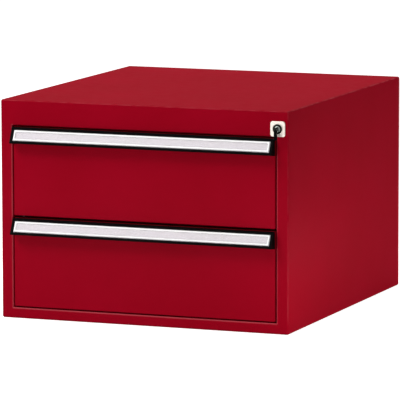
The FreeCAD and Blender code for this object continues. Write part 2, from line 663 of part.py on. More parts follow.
def handle(tag, tier):
    """An extruded profile with a sloped label holder, closed by an end cap at each side."""
    half = f"({OPENING_HALF} - front_gap - cap_length)"
    upper_lip = [("0", "0"), ("lip_depth", "0"), ("lip_depth", f"{SLOPE_TOP[1]} - lip_edge / 2")]
    lower_lip = [
        ("grip_reach - lip_edge", f"{SLOPE_FOOT[1]} - lip_edge / 2"),
        ("grip_reach", f"{SLOPE_FOOT[1]} + lip_edge"), ("grip_reach", "grip_height"),
    ]
    tail = [("grip_wall", "grip_height + grip_tail"), ("0", "grip_height + grip_tail")]
    inside = [
        ("grip_reach - grip_wall - lip_slope", "grip_height"), slope_point(SLOPE_LENGTH, "-grip_wall"),
        slope_point("0", "-grip_wall"), ("grip_wall", f"{SLOPE_TOP[1]} - lip_edge"),
    ]
    profile = [*upper_lip, SLOPE_TOP, SLOPE_FOOT, *lower_lip, *inside, *tail]
    corners = [grip_corner(tier, *spot) for spot in profile]
    body = prism(f"{tag}_profile", "YZ_Plane", f"-{half}", corners, f"2 * {half}",
                 [((1,), "lip_round_top"), ((7, 8), "lip_round"), ((6,), "lip_edge / 2")])
    screws = []
    for index, x in enumerate(GRIP_SCREWS):
        spot = (x, f"{FRONT} + {MARGIN}", grip_screw_level(tier))
        screws.append(rod(f"{tag}_grip_hole_{index}", spot, "-y", "rivet + hole_play",
                          f"grip_wall / 2 + {MARGIN}"))
    node(cut(f"{tag}_handle", body, *screws), f"handle_{tag}_profile")

    cap_corners = [grip_corner(tier, *spot) for spot in [*upper_lip, *lower_lip, *tail]]
    cap = prism(f"{tag}_cap", "YZ_Plane", half, cap_corners, "cap_length",
                [((1,), "lip_round_top"), ((4, 5), "lip_round")])
    node(cap, f"handle_{tag}_end_cap_right")
    node(mirror(f"{tag}_cap_left", cap), f"handle_{tag}_end_cap_left")

    start = "label_play"
    end = f"{SLOPE_LENGTH} - label_play"
    paper_half = f"({half} - label_play)"
    layers = (("strip", "0", "label_paper"), ("cover", "label_paper", "label_paper + label_cover"))
    for name, low, high in layers:
        ring = ((start, low), (end, low), (end, high), (start, high))
        spots = [slope_point(along, out) for along, out in ring]
        layer_corners = [grip_corner(tier, *spot) for spot in spots]
        layer = prism(f"{tag}_label_{name}", "YZ_Plane", f"-{paper_half}", layer_corners, f"2 * {paper_half}")
        node(layer, f"label_{tag}_{name}")

    pieces = []
    for index, x in enumerate(GRIP_SCREWS):
        inside = f"{FRONT} + front_skin"
        level = grip_screw_level(tier)
        shank = rod(f"{tag}_screw_shank_{index}", (x, inside, level), "-y", "rivet",
                    "front_skin + grip_wall / 2 - hole_play")
        head = rod(f"{tag}_screw_head_{index}", (x, inside, level), "+y", "rivet_head", "head_height")
        pieces.append(join(f"{tag}_screw_{index}", shank, head))
    node(group(f"{tag}_screws", pieces), f"handle_{tag}_screws")


def catch(tag, tier):
    """An angle on the right side of the tray, behind which the locking bar's tab stands when locked."""
    face = f"({BAR_FRONT} + bar_thick + catch_play)"
    end = f"({face} + catch_length)"
    tip = f"({TRAY_HALF} + catch_reach)"
    foot = f"({TRAY_HALF} + catch_skin)"
    corners = [
        (TRAY_HALF, face), (tip, face), (tip, f"{face} + catch_skin"),
        (foot, f"{face} + catch_skin"), (foot, end), (TRAY_HALF, end),
    ]
    node(prism(f"{tag}_catch", "XY_Plane", f"{tray_floor(tier)} + catch_rise", corners, "catch_height"),
         f"catch_{tag}")


def lock():
    """Cylinder lock in the top rail: plate, barrel and nut stay, plug, cam and key turn."""
    axis = (LOCK_X, LOCK_Z)

    def turned(name, aim, start, radius, length):
        return rod(name, (axis[0], start, axis[1]), aim, radius, length)

    hole_end = f"plate_thick + 2 * {MARGIN}"
    plate_block = make("PartDesign::Body", "plate_block")
    block = plate_block.newObject("PartDesign::AdditiveBox", "plate_box")
    bind(block, "Length", "plate")
    bind(block, "Width", "plate_thick")
    bind(block, "Height", "plate")
    place(block, (f"{LOCK_X} - plate / 2", f"{FRONT} - plate_thick", f"{LOCK_Z} - plate / 2"))
    doc.recompute()
    upright = FreeCAD.Vector(0, 1, 0)
    corners = []
    rims = []
    for number, edge in enumerate(block.Shape.Edges, 1):
        start = edge.Vertexes[0].Point
        run = edge.Vertexes[-1].Point - start
        if run.cross(upright).Length < TOUCH:
            corners.append(f"Edge{number}")
    plate_block.Tip = round_off(plate_block, "plate_corners", corners, "plate_corner")
    doc.recompute()
    face = -value("depth") / 2 - value("plate_thick")
    for number, edge in enumerate(plate_block.Tip.Shape.Edges, 1):
        if all(abs(vertex.Point.y - face) < TOUCH for vertex in edge.Vertexes):
            rims.append(f"Edge{number}")
    plate_block.Tip = round_off(plate_block, "plate_rim", rims, "plate_rim")
    doc.recompute()
    hole = turned("plate_hole", "-y", f"{FRONT} + {MARGIN}", "barrel_radius + hole_play", hole_end)
    node(cut("lock_plate", plate_block, hole), "lock_plate")

    barrel = turned("barrel_solid", "+y", f"{FRONT} - barrel_proud", "barrel_radius",
                    "barrel_proud + barrel_length")
    bore = turned("barrel_bore", "+y", f"{FRONT} - barrel_proud - {MARGIN}", "plug_radius + running",
                  f"barrel_proud + barrel_length + 2 * {MARGIN}")
    node(cut("lock_barrel", barrel, bore), "lock_barrel")

    ring = turned("nut_solid", "+y", f"{FRONT} + skin", "nut_radius", "nut_height")
    ring_hole = turned("nut_hole", "+y", FRONT, "barrel_radius + hole_play", "skin + nut_height + jamb")
    node(cut("lock_nut", ring, ring_hole), "lock_nut")

    plug_front = f"({FRONT} - barrel_proud - plug_proud)"
    solid = turned("plug_solid", "+y", plug_front, "plug_radius", f"{CAM_FRONT} - {plug_front}")
    slot = box("keyway_slot",
               (f"{LOCK_X} - keyway / 2", f"{plug_front} - {MARGIN}", f"{LOCK_Z} - keyway_height / 2"),
               ("keyway", f"keyway_depth + {MARGIN}", "keyway_height"))
    node(cut("lock_plug", solid, slot), "lock_plug")

    pivot = f"({plug_front} - key_pivot)"
    shaft = box("blade_shaft", (f"{LOCK_X} - blade / 2", pivot, f"{LOCK_Z} - blade_height / 2"),
                ("blade", f"key_pivot + keyway_depth - {MARGIN}", "blade_height"))
    eye = rod("blade_eye", (f"{LOCK_X} - blade / 2", pivot, LOCK_Z), "+x", "blade_height / 2", "blade")
    eye_hole = rod("blade_eye_hole", (f"{LOCK_X} - blade / 2 - {MARGIN}", pivot, LOCK_Z), "+x",
                   "pin + running", f"blade + 2 * {MARGIN}")
    node(cut("key_blade", join("blade_blank", shaft, eye), eye_hole), "key_blade")

    left = f"{LOCK_X} - bow / 2"
    bow_foot = f"{LOCK_Z} - bow_length + bow_width / 2"
    slab = box("bow_slab", (left, f"{pivot} - bow_width / 2", bow_foot),
               ("bow", "bow_width", "bow_length - bow_width / 2"))
    head = rod("bow_head", (left, pivot, LOCK_Z), "+x", "bow_width / 2", "bow")
    tip = rod("bow_tip", (left, pivot, bow_foot), "+x", "bow_width / 2", "bow")
    fork_foot = f"{LOCK_Z} - blade_height / 2 - fork_play"
    fork = box("bow_fork", (f"{LOCK_X} - blade / 2 - fork_play", f"{pivot} - bow_width", fork_foot),
               ("blade + 2 * fork_play", "2 * bow_width", "blade_height + bow_width"))
    pin_hole = rod("bow_pin_hole", (f"{left} - {MARGIN}", pivot, LOCK_Z), "+x", "pin + running",
                   f"bow + 2 * {MARGIN}")
    node(cut("key_bow", join("bow_blank", slab, head, tip), fork, pin_hole), "key_bow")
    node(rod("key_pin", (left, pivot, LOCK_Z), "+x", "pin", "bow"), "key_pin")


def cam_and_bar():
    """The plug's cam lifts a bar whose tabs then stand in front of the drawers' catches."""
    reach = "(cam_throw * sqrt(0.5))"
    pin_x = f"({LOCK_X} + {reach})"
    pin_z = f"({LOCK_Z} - {reach})"
    hub = rod("cam_hub", (LOCK_X, CAM_FRONT, LOCK_Z), "+y", "plug_radius", "cam_thick")
    knuckle = rod("cam_knuckle", (pin_x, CAM_FRONT, pin_z), "+y", "knuckle", "cam_thick")
    pin = rod("cam_pin_rod", (pin_x, CAM_FRONT, pin_z), "+y", "cam_pin",
              f"cam_thick + bar_gap + bar_thick + {MARGIN}")
    node(join("lock_cam", hub, knuckle, pin), "lock_cam")

    slot_low = f"({pin_z} - cam_pin - slot_play)"
    slot_high = f"({pin_z} + cam_pin + slot_play)"
    strip = box("bar_strip", (BAR_INNER, BAR_FRONT, "bar_foot"),
                ("bar_width", "bar_thick", f"{slot_high} + 2 * cam_pin - bar_foot"))
    tabs = []
    for tier in range(len(TIER_TAGS)):
        low = f"{tray_floor(tier)} + catch_rise - tab_play - tab_height"
        tab_tip = f"({TRAY_HALF} + catch_skin / 2)"
        tabs.append(box(f"bar_tab_{tier}", (tab_tip, BAR_FRONT, low),
                        (f"{BAR_INNER} + {MARGIN} - {tab_tip}", "bar_thick", "tab_height")))
    slot = box("bar_slot", (f"{pin_x} - cam_pin - slot_play", f"{BAR_FRONT} - {MARGIN}", slot_low),
               (f"cam_throw - {reach} + 2 * cam_pin + 2 * slot_play", f"bar_thick + 2 * {MARGIN}",
                f"{slot_high} - {slot_low}"))
    node(cut("lock_bar", join("bar_blank", strip, *tabs), slot), "lock_bar")

    guides = []
    for tier in range(len(TIER_TAGS)):
        low = f"{tray_floor(tier)} + guide_rise"
        reach = f"{FRONT_POST} - {BAR_FRONT} + guide_wall"
        block = box(f"guide_{tier}", (f"{BAR_INNER} - guide_wall", f"{BAR_FRONT} - guide_wall", low),
                    ("bar_width + 2 * guide_wall", reach, "guide_height"))
        past = f"guide_height + 2 * {MARGIN}"
        way = box(f"guide_way_{tier}",
                  (f"{BAR_INNER} - guide_play", f"{BAR_FRONT} - guide_play", f"{low} - {MARGIN}"),
                  ("bar_width + 2 * guide_play", "bar_thick + 2 * guide_play", past))
        guides.append(cut(f"guide_block_{tier}", block, way))
    node(group("lock_bar_guides", guides), "lock_bar_guides")


def check_and_write():
    """Stop if anything failed, then write each sub-part to its own file."""
    doc.recompute()
    for thing in doc.Objects:
        for word in ("Invalid", "Error"):
            if word in thing.State:
                raise RuntimeError(f"{thing.Name}: {thing.State}")
    for thing in nodes:
        shape = thing.Shape
        if shape.isNull() or not shape.isValid():
            raise RuntimeError(f"{thing.Label} has no valid shape")
        shape.exportStep(f"parts/{thing.Label}.step")
        print(f"{thing.Label}: {len(shape.Solids)} solid(s), {shape.Volume:.0f} mm3")


housing()
posts()
runner_rivets()
for tier, tag in enumerate(TIER_TAGS):
    runner_set(tag, tier)
    drawer_front(tag, tier)
    drawer_tray(tag, tier)
    handle(tag, tier)
    catch(tag, tier)
lock()
cam_and_bar()
check_and_write()
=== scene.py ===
# %% [markdown]
# # A workbench drawer unit
#
# A low steel housing holds two wide drawers, each with a black grip that carries a white label strip.
# The engineering model of the unit is finished and gives every piece its size and its place.
# Here the same pieces get their looks: powder coat, plastic, card and metal, a few finer shapes, and a
# plain studio round them. Lengths are in metres, the front looks towards -Y and Z is up.

# %% Open the model
import math

import bmesh
import bpy
from mathutils import Matrix, Vector


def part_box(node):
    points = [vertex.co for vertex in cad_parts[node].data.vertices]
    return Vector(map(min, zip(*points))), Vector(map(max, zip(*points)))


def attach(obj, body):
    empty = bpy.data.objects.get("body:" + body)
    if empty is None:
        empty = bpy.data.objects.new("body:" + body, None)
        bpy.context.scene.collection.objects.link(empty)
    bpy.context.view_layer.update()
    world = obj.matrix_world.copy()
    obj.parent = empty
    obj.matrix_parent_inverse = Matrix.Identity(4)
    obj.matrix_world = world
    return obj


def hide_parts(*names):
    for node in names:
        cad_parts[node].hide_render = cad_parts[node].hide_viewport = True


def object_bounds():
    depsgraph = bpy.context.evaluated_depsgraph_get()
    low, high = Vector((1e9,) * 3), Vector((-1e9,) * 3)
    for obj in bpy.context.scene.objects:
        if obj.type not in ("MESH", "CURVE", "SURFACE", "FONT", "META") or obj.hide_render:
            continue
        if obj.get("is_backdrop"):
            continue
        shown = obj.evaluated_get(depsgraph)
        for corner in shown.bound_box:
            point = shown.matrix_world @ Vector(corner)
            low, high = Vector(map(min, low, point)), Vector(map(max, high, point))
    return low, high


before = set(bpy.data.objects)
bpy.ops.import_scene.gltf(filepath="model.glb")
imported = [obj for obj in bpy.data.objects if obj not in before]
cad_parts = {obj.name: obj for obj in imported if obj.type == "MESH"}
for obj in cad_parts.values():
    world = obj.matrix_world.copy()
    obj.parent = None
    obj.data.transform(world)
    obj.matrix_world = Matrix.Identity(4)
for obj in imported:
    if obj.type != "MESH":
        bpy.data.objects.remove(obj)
scene = bpy.context.scene
MM = 0.001
TIERS = ("lower", "upper")
SIDES = ("left", "right")
model_low, model_high = (Vector(corner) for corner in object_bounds())
print("model size in mm:", [round(value / MM, 1) for value in model_high - model_low])

# %% [markdown]
# ## Where the photographer stood
#
# The viewpoint could be found by trial, but the corners of the housing give it better: each corner's
# place in the picture limits where the lens can be. The unit was photographed from its right front, with
# a long lens about seven metres away and a little above its top. A long lens keeps upright edges
# nearly parallel, which suits a product picture.

# %% Camera
SENSOR = 36
LENS = 382.6
FAR = 200
TURN = math.radians(21.422)
TILT = math.radians(7.892)
ROLL = math.radians(-0.122)
STAND = Vector((2.5675, -6.567, 1.148))


def stand_camera():
    """A camera turned left by TURN and down by TILT, then rolled about its own axis."""
    camera = bpy.data.objects.new("camera", bpy.data.cameras.new("camera"))
    scene.collection.objects.link(camera)
    level = Matrix.Rotation(TURN, 4, "Z") @ Matrix.Rotation(math.pi / 2 - TILT, 4, "X")
    camera.matrix_world = Matrix.Translation(STAND) @ level @ Matrix.Rotation(ROLL, 4, "Z")
    camera.data.sensor_width = SENSOR
    camera.data.lens = LENS
    camera.data.clip_end = FAR
    return camera


scene.camera = stand_camera()
scene.view_settings.view_transform = "Standard"
print("camera stands", round(STAND.length, 2), "m from the origin")

# %% [markdown]
# ## Arithmetic in materials
#
# A material is a graph of nodes, and long formulas are hard to read as node calls. A small class that
# wraps a socket and answers to +, - and * lets a mask be written as ordinary arithmetic, while
# Blender still receives plain Math nodes. One method makes every other kind of node.

# %% Sockets that can be added and multiplied


class Wire:
    """One output socket of a material's graph, with which a formula can be written."""

    def __init__(self, finish, socket):
        self.finish = finish
        self.socket = socket

    def maths(self, operation, *values):
        """One Math node that works on the values given."""
        return self.finish.node("ShaderNodeMath", {"operation": operation}, dict(enumerate(values)))[0]

    def __add__(self, other):
        return self.maths("ADD", self, other)

    def __radd__(self, other):
        return self.maths("ADD", other, self)

    def __sub__(self, other):
        return self.maths("SUBTRACT", self, other)

    def __rsub__(self, other):
        return self.maths("SUBTRACT", other, self)

    def __mul__(self, other):
        return self.maths("MULTIPLY", self, other)

    def __rmul__(self, other):
        return self.maths("MULTIPLY", other, self)

    def __abs__(self):
        return self.maths("ABSOLUTE", self)


class Finish:
    """A material with a Principled shader, whose graph is built by name."""

    def __init__(self, name, **constants):
        self.material = bpy.data.materials.new(name)
        self.material.use_nodes = True
        self.tree = self.material.node_tree
        self.shader = self.tree.nodes["Principled BSDF"]
        for label, number in constants.items():
            self.shader.inputs[label.replace("_", " ")].default_value = number
        place = self.node("ShaderNodeTexCoord", {}, {})
        self.place = place["Object"]

    def node(self, kind, settings, sockets):
        """Add a node: its settings first, then the values or wires of its sockets."""
        made = self.tree.nodes.new(kind)
        for label, setting in settings.items():
            setattr(made, label, setting)
        for label, given in sockets.items():
            if isinstance(given, Wire):
                self.tree.links.new(given.socket, made.inputs[label])
            else:
                made.inputs[label].default_value = given
        return Outputs(self, made)

    def feed(self, label, wire):
        """Link a wire to one socket of the main shader."""
        self.tree.links.new(wire.socket, self.shader.inputs[label])

    def axes(self):
        """Object coordinates as three wires, in metres."""
        split = self.node("ShaderNodeSeparateXYZ", {}, {"Vector": self.place})
        return split["X"], split["Y"], split["Z"]

    def noise(self, size, detail, stretch=(1, 1, 1)):
        """Cloudy noise whose blobs are about a size across, drawn out along an axis by its stretch."""
        scale = tuple(1 / (size * factor) for factor in stretch)
        mapped = self.node("ShaderNodeMapping", {}, {"Vector": self.place, "Scale": scale})
        sockets = {"Vector": mapped["Vector"], "Scale": 1.0, "Detail": detail}
        return self.node("ShaderNodeTexNoise", {}, sockets)["Fac"]

    def spread(self, middle, *drifts):
        """A value round a middle, which each noise moves by up to half of its reach."""
        total = middle
        for reach, noise in drifts:
            total = total + reach * (noise - 0.5)
        return total

    def step(self, wire, low, high):
        """A smooth rise from 0 to 1 between two values."""
        settings = {"interpolation_type": "SMOOTHSTEP", "clamp": True}
        sockets = {"Value": wire, "From Min": low, "From Max": high}
        return self.node("ShaderNodeMapRange", settings, sockets)["Result"]

    def blend(self, amount, first, second):
        """A colour between two, each a wire or an RGB triple. The Mix node has them at 6, 7 and 2."""
        ends = [end if isinstance(end, Wire) else shade(*end) for end in (first, second)]
        sockets = {0: amount, 6: ends[0], 7: ends[1]}
        return self.node("ShaderNodeMix", {"data_type": "RGBA"}, sockets)[2]

    def bump(self, height, depth, strength, under=None):
        """A normal that leans as if a height had been raised by a depth, over another one if given."""
        sockets = {"Height": height, "Distance": depth, "Strength": strength}
        if under is not None:
            sockets["Normal"] = under
        return self.node("ShaderNodeBump", {}, sockets)["Normal"]


class Outputs:
    """The outputs of one node, by name or number."""

    def __init__(self, finish, made):
        self.finish = finish
        self.made = made

    def __getitem__(self, label):
        return Wire(self.finish, self.made.outputs[label])


def shade(*numbers):
    """An RGB colour with full alpha."""
    return (*numbers, 1)


print("helpers ready")

# %% [markdown]
# ## Powder coat
#
# The housing and the drawer fronts are steel that was sprayed with plastic powder and baked. Such a
# coat is never a mirror: it dries with a faint orange peel, about two millimetres from hill to hill,
# and its gloss drifts a little over a sheet. A thin clear layer with a low weight stands for that
# gloss, because it stays weak where a face is seen at a shallow angle. The outer edges are painted
# slightly paler, partly as wear from handling and partly as a painted highlight, and the rim of the
# opening is painted paler all round as a painted highlight on its fold. An image could hold these
# marks, but every sheet would have to be unwrapped for it. They follow the place on the unit, so the
# masks are worked out from Object coordinates instead. Faces that look up get a little grey dust, which
# also paints the top paler than the front as a painted sheen; the surface's normal tells where.

# %% Ruby powder coat
RUBY = (0.322, 0.0008, 0.0120)
RUBY_DEEP = (0.300, 0.0006, 0.0100)
# Paler colour for worn outer edges, also used as a painted highlight on these edges and on the opening's
# rim.
RUBY_WEAR_AND_HIGHLIGHT = (0.46, 0.030, 0.050)
COAT = 0.030
COAT_ROUGHNESS = 0.34
RIM_GLOSS = 0.35
EDGE_GLOSS = 0.12
WEAR_AND_HIGHLIGHT_SHARE = 0.5
# Grey dust on faces that look up, which also serves as a painted sheen that makes the top paler than the
# front.
DUST_AND_SHEEN = (0.50, 0.46, 0.44)
DUST_AND_SHEEN_SHARE = 0.016
CLOUD = 110 * MM
PATCH = 18 * MM
PEEL = 2.4 * MM
SPECK = 0.9 * MM
PEEL_DEPTH = 0.06 * MM
EDGE_REACH = 3.5 * MM
RIM_REACH = 2.0 * MM
GAP = 2 * MM
housing_front = -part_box("top_panel")[0].y


def wear_and_highlight_masks(finish, opening):
    """Two masks: the outer edges, for wear and a painted highlight, and the opening's rim, for a painted
    highlight.
    """
    x, y, z = finish.axes()
    flank = finish.step(abs(x), model_high.x - EDGE_REACH, model_high.x)
    roof = finish.step(z, model_high.z - EDGE_REACH, model_high.z)
    face = finish.step(0 - y, housing_front - EDGE_REACH, housing_front)
    outer = finish.step(flank * face + flank * roof + face * roof, 0.3, 0.9)
    half, low, high = opening
    within = finish.step(abs(x), half + 2 * RIM_REACH, half)
    beside = finish.step(abs(x), half - RIM_REACH, half) * within
    above_foot = finish.step(z, low - RIM_REACH, low + RIM_REACH)
    below_head = finish.step(z, high + 2 * RIM_REACH, high)
    foot = finish.step(z, low - 2 * RIM_REACH, low) * finish.step(z, low + RIM_REACH, low)
    frame_line = beside * (above_foot * below_head) + within * foot
    return outer, finish.step(frame_line * face, 0.1, 0.9)


def powder_coat(name, colour, deep, wear_and_highlight, roughness, opening):
    """A baked powder finish with orange peel, drifting gloss, and edges painted paler: wear and a
    painted highlight on the outer edges, a painted highlight on the opening's rim.
    """
    finish = Finish(name, Specular_IOR_Level=0.0, Coat_Roughness=COAT_ROUGHNESS, Coat_IOR=1.5)
    cloud = finish.noise(CLOUD, detail=3)
    speck = finish.noise(SPECK, detail=2)
    peel = finish.noise(PEEL, detail=2)
    patchy = finish.step(finish.noise(PATCH, detail=4), 0.3, 0.65)
    base = finish.blend(finish.step(cloud + 0.25 * speck, 0.35, 0.85), colour, deep)
    normal = finish.node("ShaderNodeNewGeometry", {}, {})["Normal"]
    upward = finish.node("ShaderNodeSeparateXYZ", {}, {"Vector": normal})["Z"]
    # Faces that look up: a little dust, which also paints the top paler as a painted sheen.
    dust_and_sheen = finish.step(upward, 0.5, 1) * DUST_AND_SHEEN_SHARE * (0.6 + 0.5 * patchy)
    base = finish.blend(dust_and_sheen, base, DUST_AND_SHEEN)
    outer, rim = wear_and_highlight_masks(finish, opening)
    # Outer edges: patchy wear together with a painted highlight. Opening's rim: a painted highlight all
    # round.
    worn = outer * patchy * WEAR_AND_HIGHLIGHT_SHARE + rim * WEAR_AND_HIGHLIGHT_SHARE
    finish.feed("Base Color", finish.blend(worn, base, wear_and_highlight))
    finish.feed("Roughness", finish.spread(roughness, (0.06, cloud), (0.05, speck)))
    coat = COAT * (0.8 + 0.4 * peel)
    finish.feed("Coat Weight", coat + RIM_GLOSS * rim + EDGE_GLOSS * outer * patchy)
    finish.feed("Normal", finish.bump(peel, PEEL_DEPTH, strength=0.35))
    return finish.material


front_low, front_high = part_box("drawer_lower_front")
opening_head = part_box("drawer_upper_front")[1].z + GAP
opening = (front_high.x + GAP, front_low.z - GAP, opening_head)
ruby = powder_coat("ruby_powder_coat", RUBY, RUBY_DEEP, RUBY_WEAR_AND_HIGHLIGHT, roughness=0.5, opening=opening)
print("made", ruby.name)

# %% [markdown]
# The drawer trays inside are coated light grey. Their floors get the marks of tools that slide to the
# front and back as the drawer is opened: long thin scratches, all the same way. They could be painted
# on an image too. Noise drawn out sixty times along Y needs none: a high threshold leaves only its
# crests, which are the scratches, and a second, larger noise says where they gather.

# %% Grey tray coat
GREY = (0.52, 0.53, 0.52)
GREY_DEEP = (0.47, 0.48, 0.475)
GREY_SCRATCH = (0.40, 0.405, 0.41)
TRAY_ROUGHNESS = 0.42
SCRATCH_SHARE = 0.7
TRAY_CLOUD = 90 * MM
TRAY_PEEL = 2.2 * MM
TRAY_PEEL_DEPTH = 0.05 * MM
SCRATCH = 1.1 * MM
SCRATCH_DEPTH = 0.03 * MM
SCRATCH_FIELD = 50 * MM


def tray_coat():
    """A grey powder finish with orange peel, and scratches that run front to back."""
    finish = Finish("grey_tray_coat", Specular_IOR_Level=0.35, IOR=1.5)
    cloud = finish.noise(TRAY_CLOUD, detail=3)
    peel = finish.noise(TRAY_PEEL, detail=2)
    streak = finish.noise(SCRATCH, detail=3, stretch=(1, 60, 1))
    where = finish.step(finish.noise(SCRATCH_FIELD, detail=2), 0.45, 0.7)
    scratch = finish.step(streak, 0.66, 0.74) * where
    base = finish.blend(finish.step(cloud, 0.3, 0.75), GREY, GREY_DEEP)
    finish.feed("Base Color", finish.blend(scratch * SCRATCH_SHARE, base, GREY_SCRATCH))
    finish.feed("Roughness", finish.spread(TRAY_ROUGHNESS, (0.1, cloud)) - 0.1 * scratch)
    dents = finish.bump(scratch, -SCRATCH_DEPTH, strength=0.5)
    finish.feed("Normal", finish.bump(peel, TRAY_PEEL_DEPTH, strength=0.3, under=dents))
    return finish.material


grey = tray_coat()
print("made", grey.name)

# %% [markdown]
# ## Metals
#
# Rolled steel shows the direction of the mill as faint streaks, and a zinc layer clouds it with grains
# some millimetres across. Drawn-out noise makes the streaks. The grains could be noise as well, but a
# Voronoi texture fits better, because each of its cells has one tone, as each grain of zinc has. Balls
# and their cages are harder and brighter: the same material with paler colours and less roughness.

# %% Zinc plated steel and bright steel
ZINC = (0.42, 0.43, 0.45)
ZINC_DULL = (0.27, 0.28, 0.295)
ZINC_GRAIN = 6 * MM
CAGE = (0.72, 0.72, 0.71)
CAGE_DULL = (0.56, 0.56, 0.56)
CAGE_GRAIN = 20 * MM
STREAK = 0.8 * MM
STREAK_DEPTH = 0.01 * MM
STAIN = 30 * MM


def rolled_steel(name, pale, dull, roughness, grain):
    """Sheet metal with streaks along the runner and cloudy grains of zinc."""
    finish = Finish(name, Metallic=1.0)
    streak = finish.noise(STREAK, detail=2, stretch=(1, 40, 1))
    mapped = finish.node("ShaderNodeMapping", {}, {"Vector": finish.place, "Scale": (1 / grain,) * 3})
    cells = finish.node("ShaderNodeTexVoronoi", {}, {"Vector": mapped["Vector"], "Scale": 1.0})
    spangle = finish.node("ShaderNodeSeparateXYZ", {}, {"Vector": cells["Color"]})["X"]
    tone = 0.5 * streak + 0.35 * spangle + 0.15 * finish.noise(STAIN, detail=3)
    finish.feed("Base Color", finish.blend(tone, dull, pale))
    finish.feed("Roughness", finish.spread(roughness, (0.14, tone)))
    finish.feed("Normal", finish.bump(streak, STREAK_DEPTH, strength=0.4))
    return finish.material


zinc = rolled_steel("zinc_plated_steel", ZINC, ZINC_DULL, roughness=0.46, grain=ZINC_GRAIN)
cage_metal = rolled_steel("bright_cage_steel", CAGE, CAGE_DULL, roughness=0.26, grain=CAGE_GRAIN)
print("made", zinc.name, cage_metal.name)

# %% [markdown]
# The lock is nickel plated. Its plate is brushed one way, while plug and barrel were turned, so their
# marks run in rings round the lock's axis. The shader's Anisotropic value could draw out the highlight
# alone. A sine of the distance from the axis makes real rings, which also tint and tilt the surface.
# Between the plug's face and the barrel's pale rim, a dark ring is painted as shade of the gap and
# recess round the plug, and the same distance says where it begins and ends.

# %% Nickel of the lock
PLATE_COLOUR = (0.67, 0.61, 0.55)
PLUG_COLOUR = (0.62, 0.68, 0.63)
# Black of the key's blade, also used for the painted shade round the lock's plug.
BLACK_NICKEL_AND_PAINTED_SHADE = (0.012, 0.014, 0.012)
GROOVE_TONE = 0.86  # share of the colour that is left in a mark
HAZE = 6 * MM
BRUSH = 0.35 * MM
BRUSH_DEPTH = 0.006 * MM
TURNING_PITCH = 0.45 * MM
DARK_FROM = 4.6 * MM
DARK_TO = 7.9 * MM
DARK_EDGE = 0.3 * MM


def axis_distance(finish, axis):
    """How far a point lies from a turned piece's axis, which runs front to back."""
    x, y, z = finish.axes()
    across = (x - axis.x) * (x - axis.x) + (z - axis.z) * (z - axis.z)
    return across.maths("SQRT", across)


def nickel(name, colour, roughness, axis=None, painted_shade_radii=None):
    """Plated metal: brushed along X, or turned in rings about an axis, with painted shade between two
    radii if given.
    """
    finish = Finish(name, Metallic=1.0)
    haze = finish.noise(HAZE, detail=3)
    if axis is None:
        marks = finish.noise(BRUSH, detail=2, stretch=(40, 1, 1))
    else:
        radius = axis_distance(finish, axis)
        marks = radius.maths("SINE", radius * (2 * math.pi / TURNING_PITCH)) * 0.5 + 0.5
    darker = tuple(GROOVE_TONE * part for part in colour)
    base = finish.blend(0.6 * haze + 0.4 * marks, darker, colour)
    if painted_shade_radii is not None:
        inner, outer = painted_shade_radii
        # Painted shade: the ring between these two radii is painted dark.
        past_inner = finish.step(radius, inner, inner + DARK_EDGE)
        before_outer = finish.step(radius, outer + DARK_EDGE, outer)
        base = finish.blend(past_inner * before_outer, base, BLACK_NICKEL_AND_PAINTED_SHADE)
    finish.feed("Base Color", base)
    finish.feed("Roughness", finish.spread(roughness, (0.12, haze), (0.05, marks)))
    finish.feed("Normal", finish.bump(marks, BRUSH_DEPTH, strength=0.5))
    return finish.material


plug_low, plug_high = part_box("lock_plug")
lock_axis = (plug_low + plug_high) / 2
plate_metal = nickel("brushed_nickel", PLATE_COLOUR, roughness=0.40)
# Painted shade: a dark ring on the plug, and on the barrel everything inside its pale rim.
painted_shade_ring = (DARK_FROM, DARK_TO)
turned_metal = nickel("turned_nickel", PLUG_COLOUR, roughness=0.34, axis=lock_axis, painted_shade_radii=painted_shade_ring)
barrel_metal = nickel("barrel_nickel", PLATE_COLOUR, roughness=0.40, axis=lock_axis, painted_shade_radii=(0, DARK_TO))
black_nickel = nickel("black_nickel", BLACK_NICKEL_AND_PAINTED_SHADE, roughness=0.34)
print("lock axis in mm:", [round(value / MM, 2) for value in lock_axis])

# %% [markdown]
# ## Plastics, the label and its clear cover
#
# The grip is a plastic section pressed through a die, so its faint lines run along it. The end caps and
# the key's bow are moulded, with a fine even grain. Two separate materials could be built, but both are
# the same plastic, so one function makes them and only the lines tell them apart. In a white studio
# black plastic turns grey as soon as it mirrors much, which is why its specular level is very low.

# %% Black plastic
BLACK = (0.0016, 0.0016, 0.0018)
BLACK_WORN = (0.0050, 0.0048, 0.0048)
BLACK_ROUGHNESS = 0.42
GRAIN = 0.5 * MM
GRAIN_DEPTH = 0.02 * MM
WEAR_SHARE = 0.5
WEAR = 30 * MM
DIE_LINE = 0.7 * MM
DIE_LINE_DEPTH = 0.03 * MM


def black_plastic(name, drawn):
    """Dark plastic, with lines along X if it was drawn through a die."""
    finish = Finish(name, Specular_IOR_Level=0.015, IOR=1.5)
    grain = finish.noise(GRAIN, detail=2)
    cloud = finish.noise(WEAR, detail=3)
    lines = finish.noise(DIE_LINE, detail=2, stretch=(300, 1, 1)) if drawn else grain
    worn = finish.step(cloud, 0.4, 0.8) * WEAR_SHARE
    finish.feed("Base Color", finish.blend(worn, BLACK, BLACK_WORN))
    finish.feed("Roughness", finish.spread(BLACK_ROUGHNESS, (0.12, cloud), (0.08, lines)))
    fine = finish.bump(grain, GRAIN_DEPTH, strength=0.35)
    finish.feed("Normal", finish.bump(lines, DIE_LINE_DEPTH, strength=0.3, under=fine))
    return finish.material


drawn_black = black_plastic("drawn_black_plastic", drawn=True)
moulded_black = black_plastic("moulded_black_plastic", drawn=False)
print("made", drawn_black.name, moulded_black.name)

